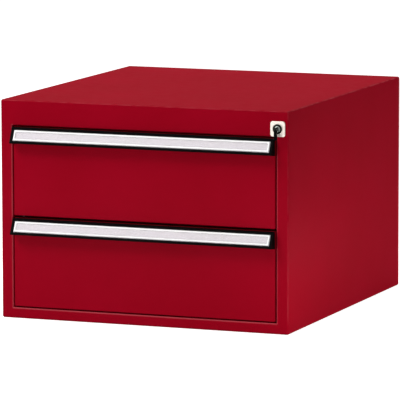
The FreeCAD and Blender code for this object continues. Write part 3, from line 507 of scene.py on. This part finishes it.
# %% [markdown]
# The label is plain card, and the cover over it is clear plastic with smears, whose border is milky. The
# guides of the locking bar are nylon. Clear plastic could be made with Transmission, which bends light
# and takes long to render. The cover is thin and lies close on the card, so nothing would be seen bent:
# a low Alpha lets the card show through, and only gloss and smears are left of the cover.

# %% Card, clear plastic and the guides' nylon
CARD = (0.80, 0.735, 0.78)
CARD_DEEP = (0.765, 0.705, 0.745)
CLEAR = (0.96, 0.96, 0.97)
CLEAR_DEEP = (0.86, 0.87, 0.88)
MILKY = (0.98, 0.98, 0.98)
MILKY_DEEP = (0.95, 0.96, 0.95)
NYLON = (0.76, 0.74, 0.68)
NYLON_DEEP = (0.66, 0.64, 0.58)
CARD_ROUGHNESS = 0.72
SATIN_ROUGHNESS = 0.4
FIBRE = 0.6 * MM
FIBRE_DEPTH = 0.006 * MM
CARD_CLOUD = 20 * MM
SMEAR = 12 * MM
MILKY_CLOUD = 6 * MM
MILKY_BUMP = 0.04 * MM
NYLON_CLOUD = 8 * MM
NYLON_GRAIN = 0.6 * MM
NYLON_BUMP = 0.02 * MM


def label_card():
    """Card with fibres that lie mostly along X."""
    finish = Finish("label_card", Specular_IOR_Level=0.2)
    fibre = finish.noise(FIBRE, detail=4, stretch=(4, 1, 1))
    cloud = finish.noise(CARD_CLOUD, detail=3)
    finish.feed("Base Color", finish.blend(0.5 * fibre + 0.5 * cloud, CARD_DEEP, CARD))
    finish.feed("Roughness", finish.spread(CARD_ROUGHNESS, (0.1, fibre)))
    finish.feed("Normal", finish.bump(fibre, FIBRE_DEPTH, strength=0.3))
    return finish.material


def clear_plastic():
    """A nearly invisible sheet that shows smears and a reflection."""
    finish = Finish("clear_cover", Specular_IOR_Level=0.5, IOR=1.49)
    smear = finish.noise(SMEAR, detail=4)
    finish.feed("Base Color", finish.blend(smear, CLEAR_DEEP, CLEAR))
    finish.feed("Roughness", 0.1 + 0.12 * smear)
    finish.feed("Alpha", 0.10 + 0.05 * smear)
    return finish.material


def milky_plastic():
    """White plastic with a slightly uneven surface."""
    finish = Finish("milky_rim", Specular_IOR_Level=1.0, IOR=1.5)
    cloud = finish.noise(MILKY_CLOUD, detail=3)
    finish.feed("Base Color", finish.blend(cloud, MILKY_DEEP, MILKY))
    finish.feed("Roughness", finish.spread(SATIN_ROUGHNESS, (0.1, cloud)))
    finish.feed("Normal", finish.bump(cloud, MILKY_BUMP, strength=0.3))
    return finish.material


def nylon():
    """Uncoloured nylon, cream and faintly clouded."""
    finish = Finish("natural_nylon", Specular_IOR_Level=0.4)
    cloud = finish.noise(NYLON_CLOUD, detail=3)
    finish.feed("Base Color", finish.blend(cloud, NYLON_DEEP, NYLON))
    finish.feed("Roughness", finish.spread(SATIN_ROUGHNESS, (0.1, cloud)))
    grain = finish.noise(NYLON_GRAIN, detail=2)
    finish.feed("Normal", finish.bump(grain, NYLON_BUMP, strength=0.4))
    return finish.material


card = label_card()
clear = clear_plastic()
milky = milky_plastic()
guide_nylon = nylon()
print("made", card.name, clear.name, milky.name, guide_nylon.name)

# %% [markdown]
# ## Dressing the model's own pieces
#
# Folded sheets, runners and the lock's inner pieces already have their true shape in the model, so they
# only need their finish. It could be given to each piece by hand. But the model names a material slot
# for each piece, so a table from slot to finish dresses them all in one loop. Two kinds of piece differ
# from the rest of their slot and are dressed after the loop: the drawn grips and the key's black blade.

# %% Finish for each slot
FINISHES = {
    "red_paint": ruby,
    "tray_grey": grey,
    "zinc_steel": zinc,
    "cage_steel": cage_metal,
    "black_plastic": moulded_black,
    "label_paper": card,
    "clear_cover": clear,
    "lock_metal": plate_metal,
    "plug_metal": turned_metal,
    "guide_plastic": guide_nylon,
}
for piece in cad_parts.values():
    for slot in piece.material_slots:
        slot.material = FINISHES[slot.material.name.split(".")[0]]
for tier in TIERS:
    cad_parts[f"handle_{tier}_profile"].material_slots[0].material = drawn_black
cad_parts["key_blade"].material_slots[0].material = black_nickel
print("dressed", len(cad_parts), "pieces")

# %% [markdown]
# ## Pieces made anew
#
# Most of the model's pieces keep their own mesh. A few small ones sit right in front of the viewer, or
# repeat, and deserve finer shapes. Each new piece takes over one piece of the model, or a part of it:
# it stays in the same place, moves with the same body and gets its finish. One function does that for
# all.

# %% Hand a new piece over
SMOOTH_ANGLE = math.radians(35)


def hand_over(name, mesh, finish, body, slot, *nodes):
    """Put a mesh into the scene in place of pieces of the model."""
    mesh.materials.clear()
    mesh.materials.append(finish)
    if not mesh.has_custom_normals:
        mesh.shade_smooth()
        mesh.set_sharp_from_angle(angle=SMOOTH_ANGLE)
    piece = bpy.data.objects.new(name, mesh)
    scene.collection.objects.link(piece)
    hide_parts(*nodes)
    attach(piece, body)


def settled(work, name):
    """The plain mesh of a work piece with its modifiers applied; the work piece is thrown away."""
    bpy.context.view_layer.update()
    evaluated = work.evaluated_get(bpy.context.evaluated_depsgraph_get())
    mesh = bpy.data.meshes.new_from_object(evaluated)
    mesh.name = name
    bpy.data.objects.remove(work)
    return mesh


def on_bench(shape, name):
    """A work piece in the scene, made from a mesh in progress."""
    mesh = bpy.data.meshes.new(name)
    shape.to_mesh(mesh)
    shape.free()
    work = bpy.data.objects.new(name, mesh)
    scene.collection.objects.link(work)
    return work


print("bench ready")

# %% [markdown]
# ## End caps and the key's bow
#
# Both are injection moulded, and a mould never gives a razor edge. The model's mesh is copied, its loose
# triangles are welded, and flat neighbours are joined into whole faces. Then a Bevel modifier can round
# every edge evenly, which it couldn't do across stray triangles. Weighted normals keep the shading of a
# large flat face flat, although the narrow rounded strips beside it are smooth.

# %% Rounded copies
CAP_EDGE = 0.55 * MM
BOW_EDGE = 1.1 * MM
FLAT_ANGLE = math.radians(3)
BEVEL_ANGLE = math.radians(40)
WELD = 0.002 * MM


def rounded_copy(node, width, segments):
    """A copy of a node's mesh with its edges rounded to a radius."""
    shape = bmesh.new()
    shape.from_mesh(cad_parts[node].data)
    bmesh.ops.remove_doubles(shape, verts=shape.verts, dist=WELD)
    bmesh.ops.dissolve_limit(shape, angle_limit=FLAT_ANGLE, verts=shape.verts, edges=shape.edges)
    work = on_bench(shape, node)
    bevel = work.modifiers.new("rounding", "BEVEL")
    bevel.width = width
    bevel.segments = segments
    bevel.limit_method = "ANGLE"
    bevel.angle_limit = BEVEL_ANGLE
    work.data.shade_smooth()
    work.modifiers.new("flat faces stay flat", "WEIGHTED_NORMAL")
    return settled(work, node + "_rounded")


for tier in TIERS:
    for side in SIDES:
        node = f"handle_{tier}_end_cap_{side}"
        mesh = rounded_copy(node, CAP_EDGE, segments=3)
        cap = f"{tier}_grip_cap_{side}"
        hand_over(cap, mesh, moulded_black, f"{tier}_drawer", "black_plastic", node)
bow_mesh = rounded_copy("key_bow", BOW_EDGE, segments=4)
hand_over("key_bow_moulding", bow_mesh, moulded_black, "key_grip", "black_plastic", "key_bow")
print("faces of one cap:", len(mesh.polygons), "and of the bow:", len(bow_mesh.polygons))

# %% [markdown]
# ## Label covers
#
# The cover is a clear strip that slides into the grip over the label. Its border is a low rounded band
# that the mould left milky, and it shows as a bright frame round the label. The strip itself stays the
# model's size, and a Bevel modifier could only round its own edges. So the band is lofted: a rounded
# rectangle is drawn several times, each one a little further in and higher or lower along half an oval,
# and faces join one ring to the next. The band lies in the strip's own slanted plane, which is found
# from the corners of the model's strip, so it needs no angles.

# %% Milky border
BORDER = 2.8 * MM
BORDER_RISE = 0.7 * MM
BORDER_INSET = 0.7 * MM
BORDER_CORNER = 1.2 * MM
BORDER_STEPS = 8
CORNER_STEPS = 5
FLATTER = 0.6
COVER = 1.0 * MM
WINDOW_EDGE = 0.2 * MM
AIR = 0.15 * MM
DIGITS = 6  # metres, rounded to a thousandth of a millimetre


def slanted_face(node):
    """The front face of a slanted strip: its lower left corner, its rise and the direction outwards."""
    corners = [point.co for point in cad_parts[node].data.vertices]
    lowest = min(corners, key=lambda corner: (round(corner.y, DIGITS), corner.x))
    highest = max(corners, key=lambda corner: (round(corner.z, DIGITS), -corner.x))
    rise = highest - lowest
    rise.x = 0
    outward = Vector((0, -rise.z, rise.y)).normalized()
    return lowest, rise, outward


def lift_back(mesh, node):
    """Raise the cover's back off the label, so that the two faces don't lie in one plane."""
    corner, rise, outward = slanted_face(node)
    for point in mesh.vertices:
        if (point.co - corner).dot(outward) < -0.5 * COVER:
            point.co += outward * AIR


def rounded_rectangle(length, height, inset, radius):
    """Points round a rectangle that lies an inset inside a strip, with rounded corners."""
    spots = []
    right = length - inset - radius
    top = height - inset - radius
    left = bottom = inset + radius
    corners = ((right, bottom, -90), (right, top, 0), (left, top, 90), (left, bottom, 180))
    for across, above, start in corners:
        for step in range(CORNER_STEPS + 1):
            angle = math.radians(start + 90 * step / CORNER_STEPS)
            spots.append((across + radius * math.cos(angle), above + radius * math.sin(angle)))
    return spots


def border_mesh(node):
    """A closed band round a strip's front face, joined from rings that follow half an oval."""
    low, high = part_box(node)
    corner, rise, outward = slanted_face(node)
    start = Vector((low.x, corner.y, corner.z))
    right = Vector((1, 0, 0))
    up = rise.normalized()
    shape = bmesh.new()
    rings = []
    for step in range(BORDER_STEPS + 1):
        turn = math.pi * step / BORDER_STEPS
        inset = BORDER_INSET + BORDER / 2 * (1 - math.cos(turn))
        lift = BORDER_RISE * max(math.sin(turn), 0) ** FLATTER - AIR
        spots = rounded_rectangle(high.x - low.x, rise.length, inset, BORDER_CORNER)
        rings.append([shape.verts.new(start + right * x + up * z + outward * lift) for x, z in spots])
    for first, second in zip(rings, rings[1:] + rings[:1]):
        for spot in range(len(first)):
            shape.faces.new((first[spot - 1], first[spot], second[spot], second[spot - 1]))
    bmesh.ops.recalc_face_normals(shape, faces=shape.faces)
    return settled(on_bench(shape, node), node + "_border")


for tier in TIERS:
    node = f"label_{tier}_cover"
    mesh = border_mesh(node)
    hand_over(f"{tier}_cover_border", mesh, milky, f"{tier}_drawer", "clear_cover", node)
    window = rounded_copy(node, WINDOW_EDGE, segments=2)
    lift_back(window, node)
    hand_over(f"{tier}_cover_window", window, clear, f"{tier}_drawer", "clear_cover", node)
print("faces of one border:", len(mesh.polygons))

# %% [markdown]
# ## Turned parts
#
# Screws, rivets and the lock's barrel come off a lathe. Cylinders with rounded edges could stand for
# them, but on the computer a lathe is as easy. It is a Spin: half a section is drawn as a few points
# and turned once round. Where the last section meets the first, the doubles are merged, and the normals
# are worked out again, because a spun shape can come out inside out.

# %% Lathe


def turned(section, steps, closed=True):
    """A solid turned about Y from points (radius, place along Y), a tube where they close a loop."""
    shape = bmesh.new()
    points = [shape.verts.new((radius, along, 0)) for radius, along in section]
    edges = [shape.edges.new(pair) for pair in zip(points, points[1:])]
    if closed:
        edges.append(shape.edges.new((points[-1], points[0])))
    spun = points + edges
    bmesh.ops.spin(shape, geom=spun, cent=(0, 0, 0), axis=(0, 1, 0), angle=2 * math.pi, steps=steps)
    bmesh.ops.remove_doubles(shape, verts=shape.verts, dist=WELD)
    bmesh.ops.dissolve_degenerate(shape, edges=shape.edges, dist=WELD)
    bmesh.ops.recalc_face_normals(shape, faces=shape.faces)
    return shape


BARREL_STEPS = 96
CHAMFER = 0.8 * MM
BORE_PLAY = 0.05 * MM


def barrel_section():
    """Section of the barrel's tube, its outer edge broken twice at the face and once at the back."""
    low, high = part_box("lock_barrel")
    outer = (high.x - low.x) / 2
    bore = (plug_high.x - plug_low.x) / 2 + BORE_PLAY
    face, back = low.y, high.y
    fine = CHAMFER / 3
    return [
        (bore, face + fine),
        (bore + fine, face),
        (outer - CHAMFER, face),
        (outer - fine, face + fine),
        (outer, face + CHAMFER),
        (outer, back - fine),
        (outer - fine, back),
        (bore, back),
    ]


barrel = turned(barrel_section(), BARREL_STEPS)
bmesh.ops.translate(barrel, verts=barrel.verts, vec=(lock_axis.x, 0, lock_axis.z))
barrel_mesh = bpy.data.meshes.new("lock_barrel_turned")
barrel.to_mesh(barrel_mesh)
barrel.free()
hand_over("lock_barrel_turned", barrel_mesh, barrel_metal, "housing", "lock_metal", "lock_barrel")
print("faces of the barrel:", len(barrel_mesh.polygons))

# %% [markdown]
# A screw of this size has a domed head with a cross recess, and a rivet has the same dome left whole.
# The recess could be built face by face, but a Boolean modifier cuts it at once with two crossed bars.
# Such a cut leaves points almost on top of each other, so the mesh is welded afterwards.

# %% Screws and rivets
SHANK = 2.5 * MM
HEAD = 4 * MM
HEAD_RISE = 1.8 * MM
RECESS_WIDTH = 0.9 * MM
RECESS_REACH = 2.1 * MM
RECESS_DEPTH = 1.1 * MM
FASTENER_STEPS = 32
TIP_WIDTH = 0.92  # share of the shank's radius
TIP_START = 0.9  # share of the shank's length
DOME = ((0.97, 0.04), (1.0, 0.12), (1.0, 0.45), (0.94, 0.68), (0.8, 0.86), (0.55, 0.97))


def head_outline(shank_length):
    """Outline of a fastener from its tip over the shank to the top of a domed head, seat at zero."""
    tip = [(0, -shank_length), (TIP_WIDTH * SHANK, -shank_length)]
    shank = [(SHANK, -TIP_START * shank_length), (SHANK, 0)]
    dome = [(across * HEAD, rise * HEAD_RISE) for across, rise in DOME]
    return tip + shank + dome + [(0, HEAD_RISE)]


def cross_cutter():
    """Two crossed bars that cut the recess of a screw head."""
    cutter = bmesh.new()
    half = RECESS_WIDTH / 2
    for reach, rise in ((RECESS_REACH, half), (half, RECESS_REACH)):
        block = bmesh.ops.create_cube(cutter, size=2)["verts"]
        bmesh.ops.scale(cutter, verts=block, vec=(reach, RECESS_DEPTH, rise))
        bmesh.ops.translate(cutter, verts=block, vec=(0, HEAD_RISE, 0))
    return on_bench(cutter, "recess_cutter")


def without_slivers(mesh):
    """Weld the points that a cut leaves almost on top of each other, and drop faces without area."""
    shape = bmesh.new()
    shape.from_mesh(mesh)
    bmesh.ops.remove_doubles(shape, verts=shape.verts, dist=WELD)
    bmesh.ops.dissolve_degenerate(shape, edges=shape.edges, dist=WELD)
    shape.to_mesh(mesh)
    shape.free()
    return mesh


def screw_blank(shank_length):
    """One screw with a cross recess, ready to be set on a grid."""
    shape = turned(head_outline(shank_length), FASTENER_STEPS, closed=False)
    work = on_bench(shape, "screw_blank")
    cutter = cross_cutter()
    cut = work.modifiers.new("recess", "BOOLEAN")
    cut.object = cutter
    cut.solver = "EXACT"
    cut.use_self = True
    mesh = without_slivers(settled(work, "screw_blank"))
    bpy.data.objects.remove(cutter)
    return bpy.data.objects.new("screw_blank", mesh)


def rivet_blank(shank_length):
    """One rivet, ready to be set on a grid."""
    shape = turned(head_outline(shank_length), FASTENER_STEPS, closed=False)
    mesh = bpy.data.meshes.new("rivet_blank")
    shape.to_mesh(mesh)
    shape.free()
    return bpy.data.objects.new("rivet_blank", mesh)


print("head section has", len(head_outline(SHANK)), "points")

# %% [markdown]
# ## Rows of fasteners
#
# Four screws hold each grip and eight rivets hold the runners. Geometry Nodes put one fastener on every
# point of a grid, so a row can be made longer or wider by one number. Each fastener is also turned by
# its own random angle about its axis, as a fitter leaves it, with a fixed seed so that every run gives
# the same picture. The last two nodes make real faces of the copies and give them their finish.
# The tree's inputs are the blank, its finish, the first place, the columns and the rows with the step
# between them, how the fasteners lie, and the seed.

# %% Tree for a grid of fasteners


def fastener_tree():
    """A node tree with named inputs that sets a fastener on each point of a grid."""
    tree = bpy.data.node_groups.new("fastener_grid", "GeometryNodeTree")
    tree.interface.new_socket("Fasteners", in_out="OUTPUT", socket_type="NodeSocketGeometry")
    inputs = {
        "Blank": "Object",
        "Finish": "Material",
        "First": "Vector",
        "Columns": "Int",
        "Column step": "Vector",
        "Rows": "Int",
        "Row step": "Vector",
        "Lie": "Vector",
        "Seed": "Int",
    }
    for label, kind in inputs.items():
        tree.interface.new_socket(label, in_out="INPUT", socket_type="NodeSocket" + kind)
    given = tree.nodes.new("NodeGroupInput").outputs

    def add(kind, links, **settings):
        """Add a node with its settings, and give its inputs their wires or values."""
        made = tree.nodes.new(kind)
        for label, setting in settings.items():
            setattr(made, label, setting)
        for label, source in links.items():
            if isinstance(source, bpy.types.NodeSocket):
                tree.links.new(source, made.inputs[label])
            else:
                made.inputs[label].default_value = source
        return made.outputs

    line = "GeometryNodeMeshLine"
    along = {"Count": given["Columns"], "Start Location": given["First"], "Offset": given["Column step"]}
    columns = add(line, along)
    rows = add(line, {"Count": given["Rows"], "Offset": given["Row step"]})
    grid = add("GeometryNodeInstanceOnPoints", {"Points": columns[0], "Instance": rows[0]})
    points = add("GeometryNodeRealizeInstances", {"Geometry": grid[0]})
    blank = add("GeometryNodeObjectInfo", {"Object": given["Blank"]})
    whole_turn = {"Max": (0, 2 * math.pi, 0), "Seed": given["Seed"]}
    turn = add("FunctionNodeRandomValue", whole_turn, data_type="FLOAT_VECTOR")
    placed = add("GeometryNodeInstanceOnPoints", {"Points": points[0], "Instance": blank["Geometry"]})
    turned_about = add("GeometryNodeRotateInstances", {"Instances": placed[0], "Rotation": turn[0]})
    lie = {"Instances": turned_about[0], "Rotation": given["Lie"], "Local Space": False}
    laid = add("GeometryNodeRotateInstances", lie)
    solid = add("GeometryNodeRealizeInstances", {"Geometry": laid[0]})
    dressed = add("GeometryNodeSetMaterial", {"Geometry": solid[0], "Material": given["Finish"]})
    end = tree.nodes.new("NodeGroupOutput")
    tree.links.new(dressed[0], end.inputs[0])
    return tree


def grown(tree, name, **sizes):
    """The plain mesh that a tree grows when each of its inputs is set to the size of the same name."""
    work = bpy.data.objects.new(name, bpy.data.meshes.new(name))
    scene.collection.objects.link(work)
    grow = work.modifiers.new("grow", "NODES")
    grow.node_group = tree
    for item in tree.interface.items_tree:
        if item.in_out == "INPUT":
            grow[item.identifier] = sizes[item.name.replace(" ", "_").lower()]
    return settled(work, name)


fasteners = fastener_tree()
print("inputs:", [item.name for item in fasteners.interface.items_tree if item.in_out == "INPUT"])

# %% [markdown]
# Places could be typed in, but the model's own fasteners know them: the box round each row gives the
# first place, the step and the height, so the new heads sit where the old ones were. Screws lie as they
# were made, with the head to the back. Rivets are turned by a quarter, so that their heads look to the
# sides.

# %% Screws of the grips and rivets of the runners
SCREW_SHANK = 2.2 * MM
RIVET_SHANK = 2.0 * MM
SCREW_COUNT = 4
RIVETS_EACH_WAY = 2
SCREW_SEED = 7
RIVET_SEED = 11
NO_STEP = (0.0, 0.0, 0.0)
AS_MADE = (0.0, 0.0, 0.0)


def grip_screws():
    """A row of screws behind each grip."""
    blank = screw_blank(SCREW_SHANK)
    for tier in TIERS:
        node = f"handle_{tier}_screws"
        low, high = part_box(node)
        first = (low.x + HEAD, low.y + SCREW_SHANK, (low.z + high.z) / 2)
        step = (high.x - low.x - 2 * HEAD) / (SCREW_COUNT - 1)
        mesh = grown(
            fasteners, f"{tier}_grip_screws", blank=blank, finish=zinc, first=first, seed=SCREW_SEED,
            columns=SCREW_COUNT, column_step=(step, 0.0, 0.0), rows=1, row_step=NO_STEP, lie=AS_MADE,
        )
        hand_over(f"{tier}_grip_screws", mesh, zinc, f"{tier}_drawer", "zinc_steel", node)
    bpy.data.objects.remove(blank)


def runner_rivets():
    """Two rows of rivets on each side, whose heads look outwards."""
    blank = rivet_blank(RIVET_SHANK)
    low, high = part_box("runner_rivets")
    along = high.y - low.y - 2 * HEAD
    rise = high.z - low.z - 2 * HEAD
    for side, sign in (("left", -1), ("right", 1)):
        first = (sign * (high.x - HEAD_RISE), low.y + HEAD, low.z + HEAD)
        mesh = grown(
            fasteners, f"runner_rivets_{side}", blank=blank, finish=zinc, first=first, seed=RIVET_SEED,
            columns=RIVETS_EACH_WAY, column_step=(0.0, along, 0.0),
            rows=RIVETS_EACH_WAY, row_step=(0.0, 0.0, rise), lie=(0.0, 0.0, -sign * math.pi / 2),
        )
        hand_over(f"runner_rivets_{side}", mesh, zinc, "housing", "zinc_steel", "runner_rivets")
    bpy.data.objects.remove(blank)


grip_screws()
runner_rivets()
print("fasteners placed")

# %% [markdown]
# ## The studio
#
# A product picture of this kind has a white ground and large soft lamps. A white world alone could light
# the unit, but it would do so evenly from all sides and leave the unit flat. So the world gives only a
# low, even level of light, and its white is kept for what the lens sees directly or in a reflection. A
# Light Path node tells these rays apart.

# %% World
AMBIENT = 0.20


def light_world():
    """Even light for the unit, and plain white for the lens and for reflections."""
    world = bpy.data.worlds.new("studio")
    scene.world = world
    world.use_nodes = True
    tree = world.node_tree
    tree.nodes.clear()
    path = tree.nodes.new("ShaderNodeLightPath")
    even = tree.nodes.new("ShaderNodeBackground")
    even.inputs["Color"].default_value = shade(AMBIENT, AMBIENT, AMBIENT)
    white = tree.nodes.new("ShaderNodeBackground")
    white.inputs["Color"].default_value = shade(1, 1, 1)
    choice = tree.nodes.new("ShaderNodeMixShader")
    out = tree.nodes.new("ShaderNodeOutputWorld")
    seen = path.outputs["Is Camera Ray"]
    for label in ("Is Glossy Ray", "Is Transmission Ray"):
        both = tree.nodes.new("ShaderNodeMath")
        both.operation = "MAXIMUM"
        tree.links.new(seen, both.inputs[0])
        tree.links.new(path.outputs[label], both.inputs[1])
        seen = both.outputs[0]
    tree.links.new(seen, choice.inputs[0])
    tree.links.new(even.outputs[0], choice.inputs[1])
    tree.links.new(white.outputs[0], choice.inputs[2])
    tree.links.new(choice.outputs[0], out.inputs["Surface"])


light_world()
print("even light", AMBIENT)

# %% [markdown]
# Point lamps could light the unit too, but the soft boxes of a studio are rectangles, and their size is
# what makes shadows soft. So each lamp is an Area lamp, put in its place and turned to face its aim. The
# strongest stands at the upper left in front, a wide one hangs overhead, and a third stands behind.
# Three low strips near the floor lift the foot of the front and of the right side, as light from a
# white floor would. The front strip stands further out than an open drawer reaches.

# %% Lamps
MIDDLE = (0, 0, 0.18)
STRIP = 0.06


def softbox(name, place, aim, width, height, watts):
    """A rectangular lamp at a place, turned to face a point."""
    lamp = bpy.data.lights.new(name, "AREA")
    lamp.shape = "RECTANGLE"
    lamp.size = width
    lamp.size_y = height
    lamp.energy = watts
    holder = bpy.data.objects.new(name, lamp)
    scene.collection.objects.link(holder)
    heading = (Vector(aim) - Vector(place)).to_track_quat("-Z", "Y")
    holder.matrix_world = Matrix.Translation(place) @ heading.to_matrix().to_4x4()
    holder.visible_camera = False


softbox("key_lamp", (-1.5, -2.0, 2.6), MIDDLE, width=1.8, height=1.4, watts=58)
softbox("top_lamp", (-0.3, 0.3, 2.6), MIDDLE, width=2.4, height=2.4, watts=30)
softbox("back_lamp", (0.9, 2.3, 2.3), MIDDLE, width=1.8, height=1.4, watts=26)
softbox("front_strip", (-0.05, -1.05, 0.04), (0, -0.27, 0), width=1.2, height=STRIP, watts=1.6)
softbox("side_strip", (0.52, -0.24, 0.04), (0.25, -0.12, 0), width=0.5, height=STRIP, watts=0.50)
softbox("rear_strip", (0.60, 0.25, 0.04), (0.25, 0.15, 0), width=0.5, height=STRIP, watts=0.40)
print("lamps placed")

# %% [markdown]
# The floor is pale and takes light and shadow like any surface. A product picture shows it as white as
# the background, though. So the floor also glows for the lens and for reflections, and that glow lends
# the unit no light. What is left is a faint shadow at the unit's foot.

# %% Floor
SINK = 0.3 * MM
FLOOR = (0.83, 0.83, 0.83)
FLOOR_DEEP = (0.80, 0.80, 0.80)
FLOOR_REACH = 30
FLOOR_CLOUD = 0.4
FLOOR_GLOW = 0.82


def floor_finish():
    """Pale grey that the lens sees almost white."""
    finish = Finish("pale_floor", Specular_IOR_Level=0.1)
    cloud = finish.noise(FLOOR_CLOUD, detail=2)
    finish.feed("Base Color", finish.blend(cloud, FLOOR_DEEP, FLOOR))
    finish.feed("Roughness", 0.75 + 0.05 * cloud)
    path = finish.node("ShaderNodeLightPath", {}, {})
    seen = path["Is Camera Ray"].maths("MAXIMUM", path["Is Camera Ray"], path["Is Glossy Ray"])
    seen = seen.maths("MAXIMUM", seen, path["Is Transmission Ray"])
    finish.shader.inputs["Emission Color"].default_value = shade(1, 1, 1)
    finish.feed("Emission Strength", seen * FLOOR_GLOW)
    return finish.material


def lay_floor():
    """A wide plane just under the unit's flat underside, which would otherwise share its plane."""
    ends = ((-1, -1), (1, -1), (1, 1), (-1, 1))
    corners = [(x * FLOOR_REACH, y * FLOOR_REACH, -SINK) for x, y in ends]
    mesh = bpy.data.meshes.new("floor")
    mesh.from_pydata(corners, [], [(0, 1, 2, 3)])
    mesh.materials.append(floor_finish())
    floor = bpy.data.objects.new("floor", mesh)
    scene.collection.objects.link(floor)
    floor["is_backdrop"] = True


lay_floor()
print("floor laid")
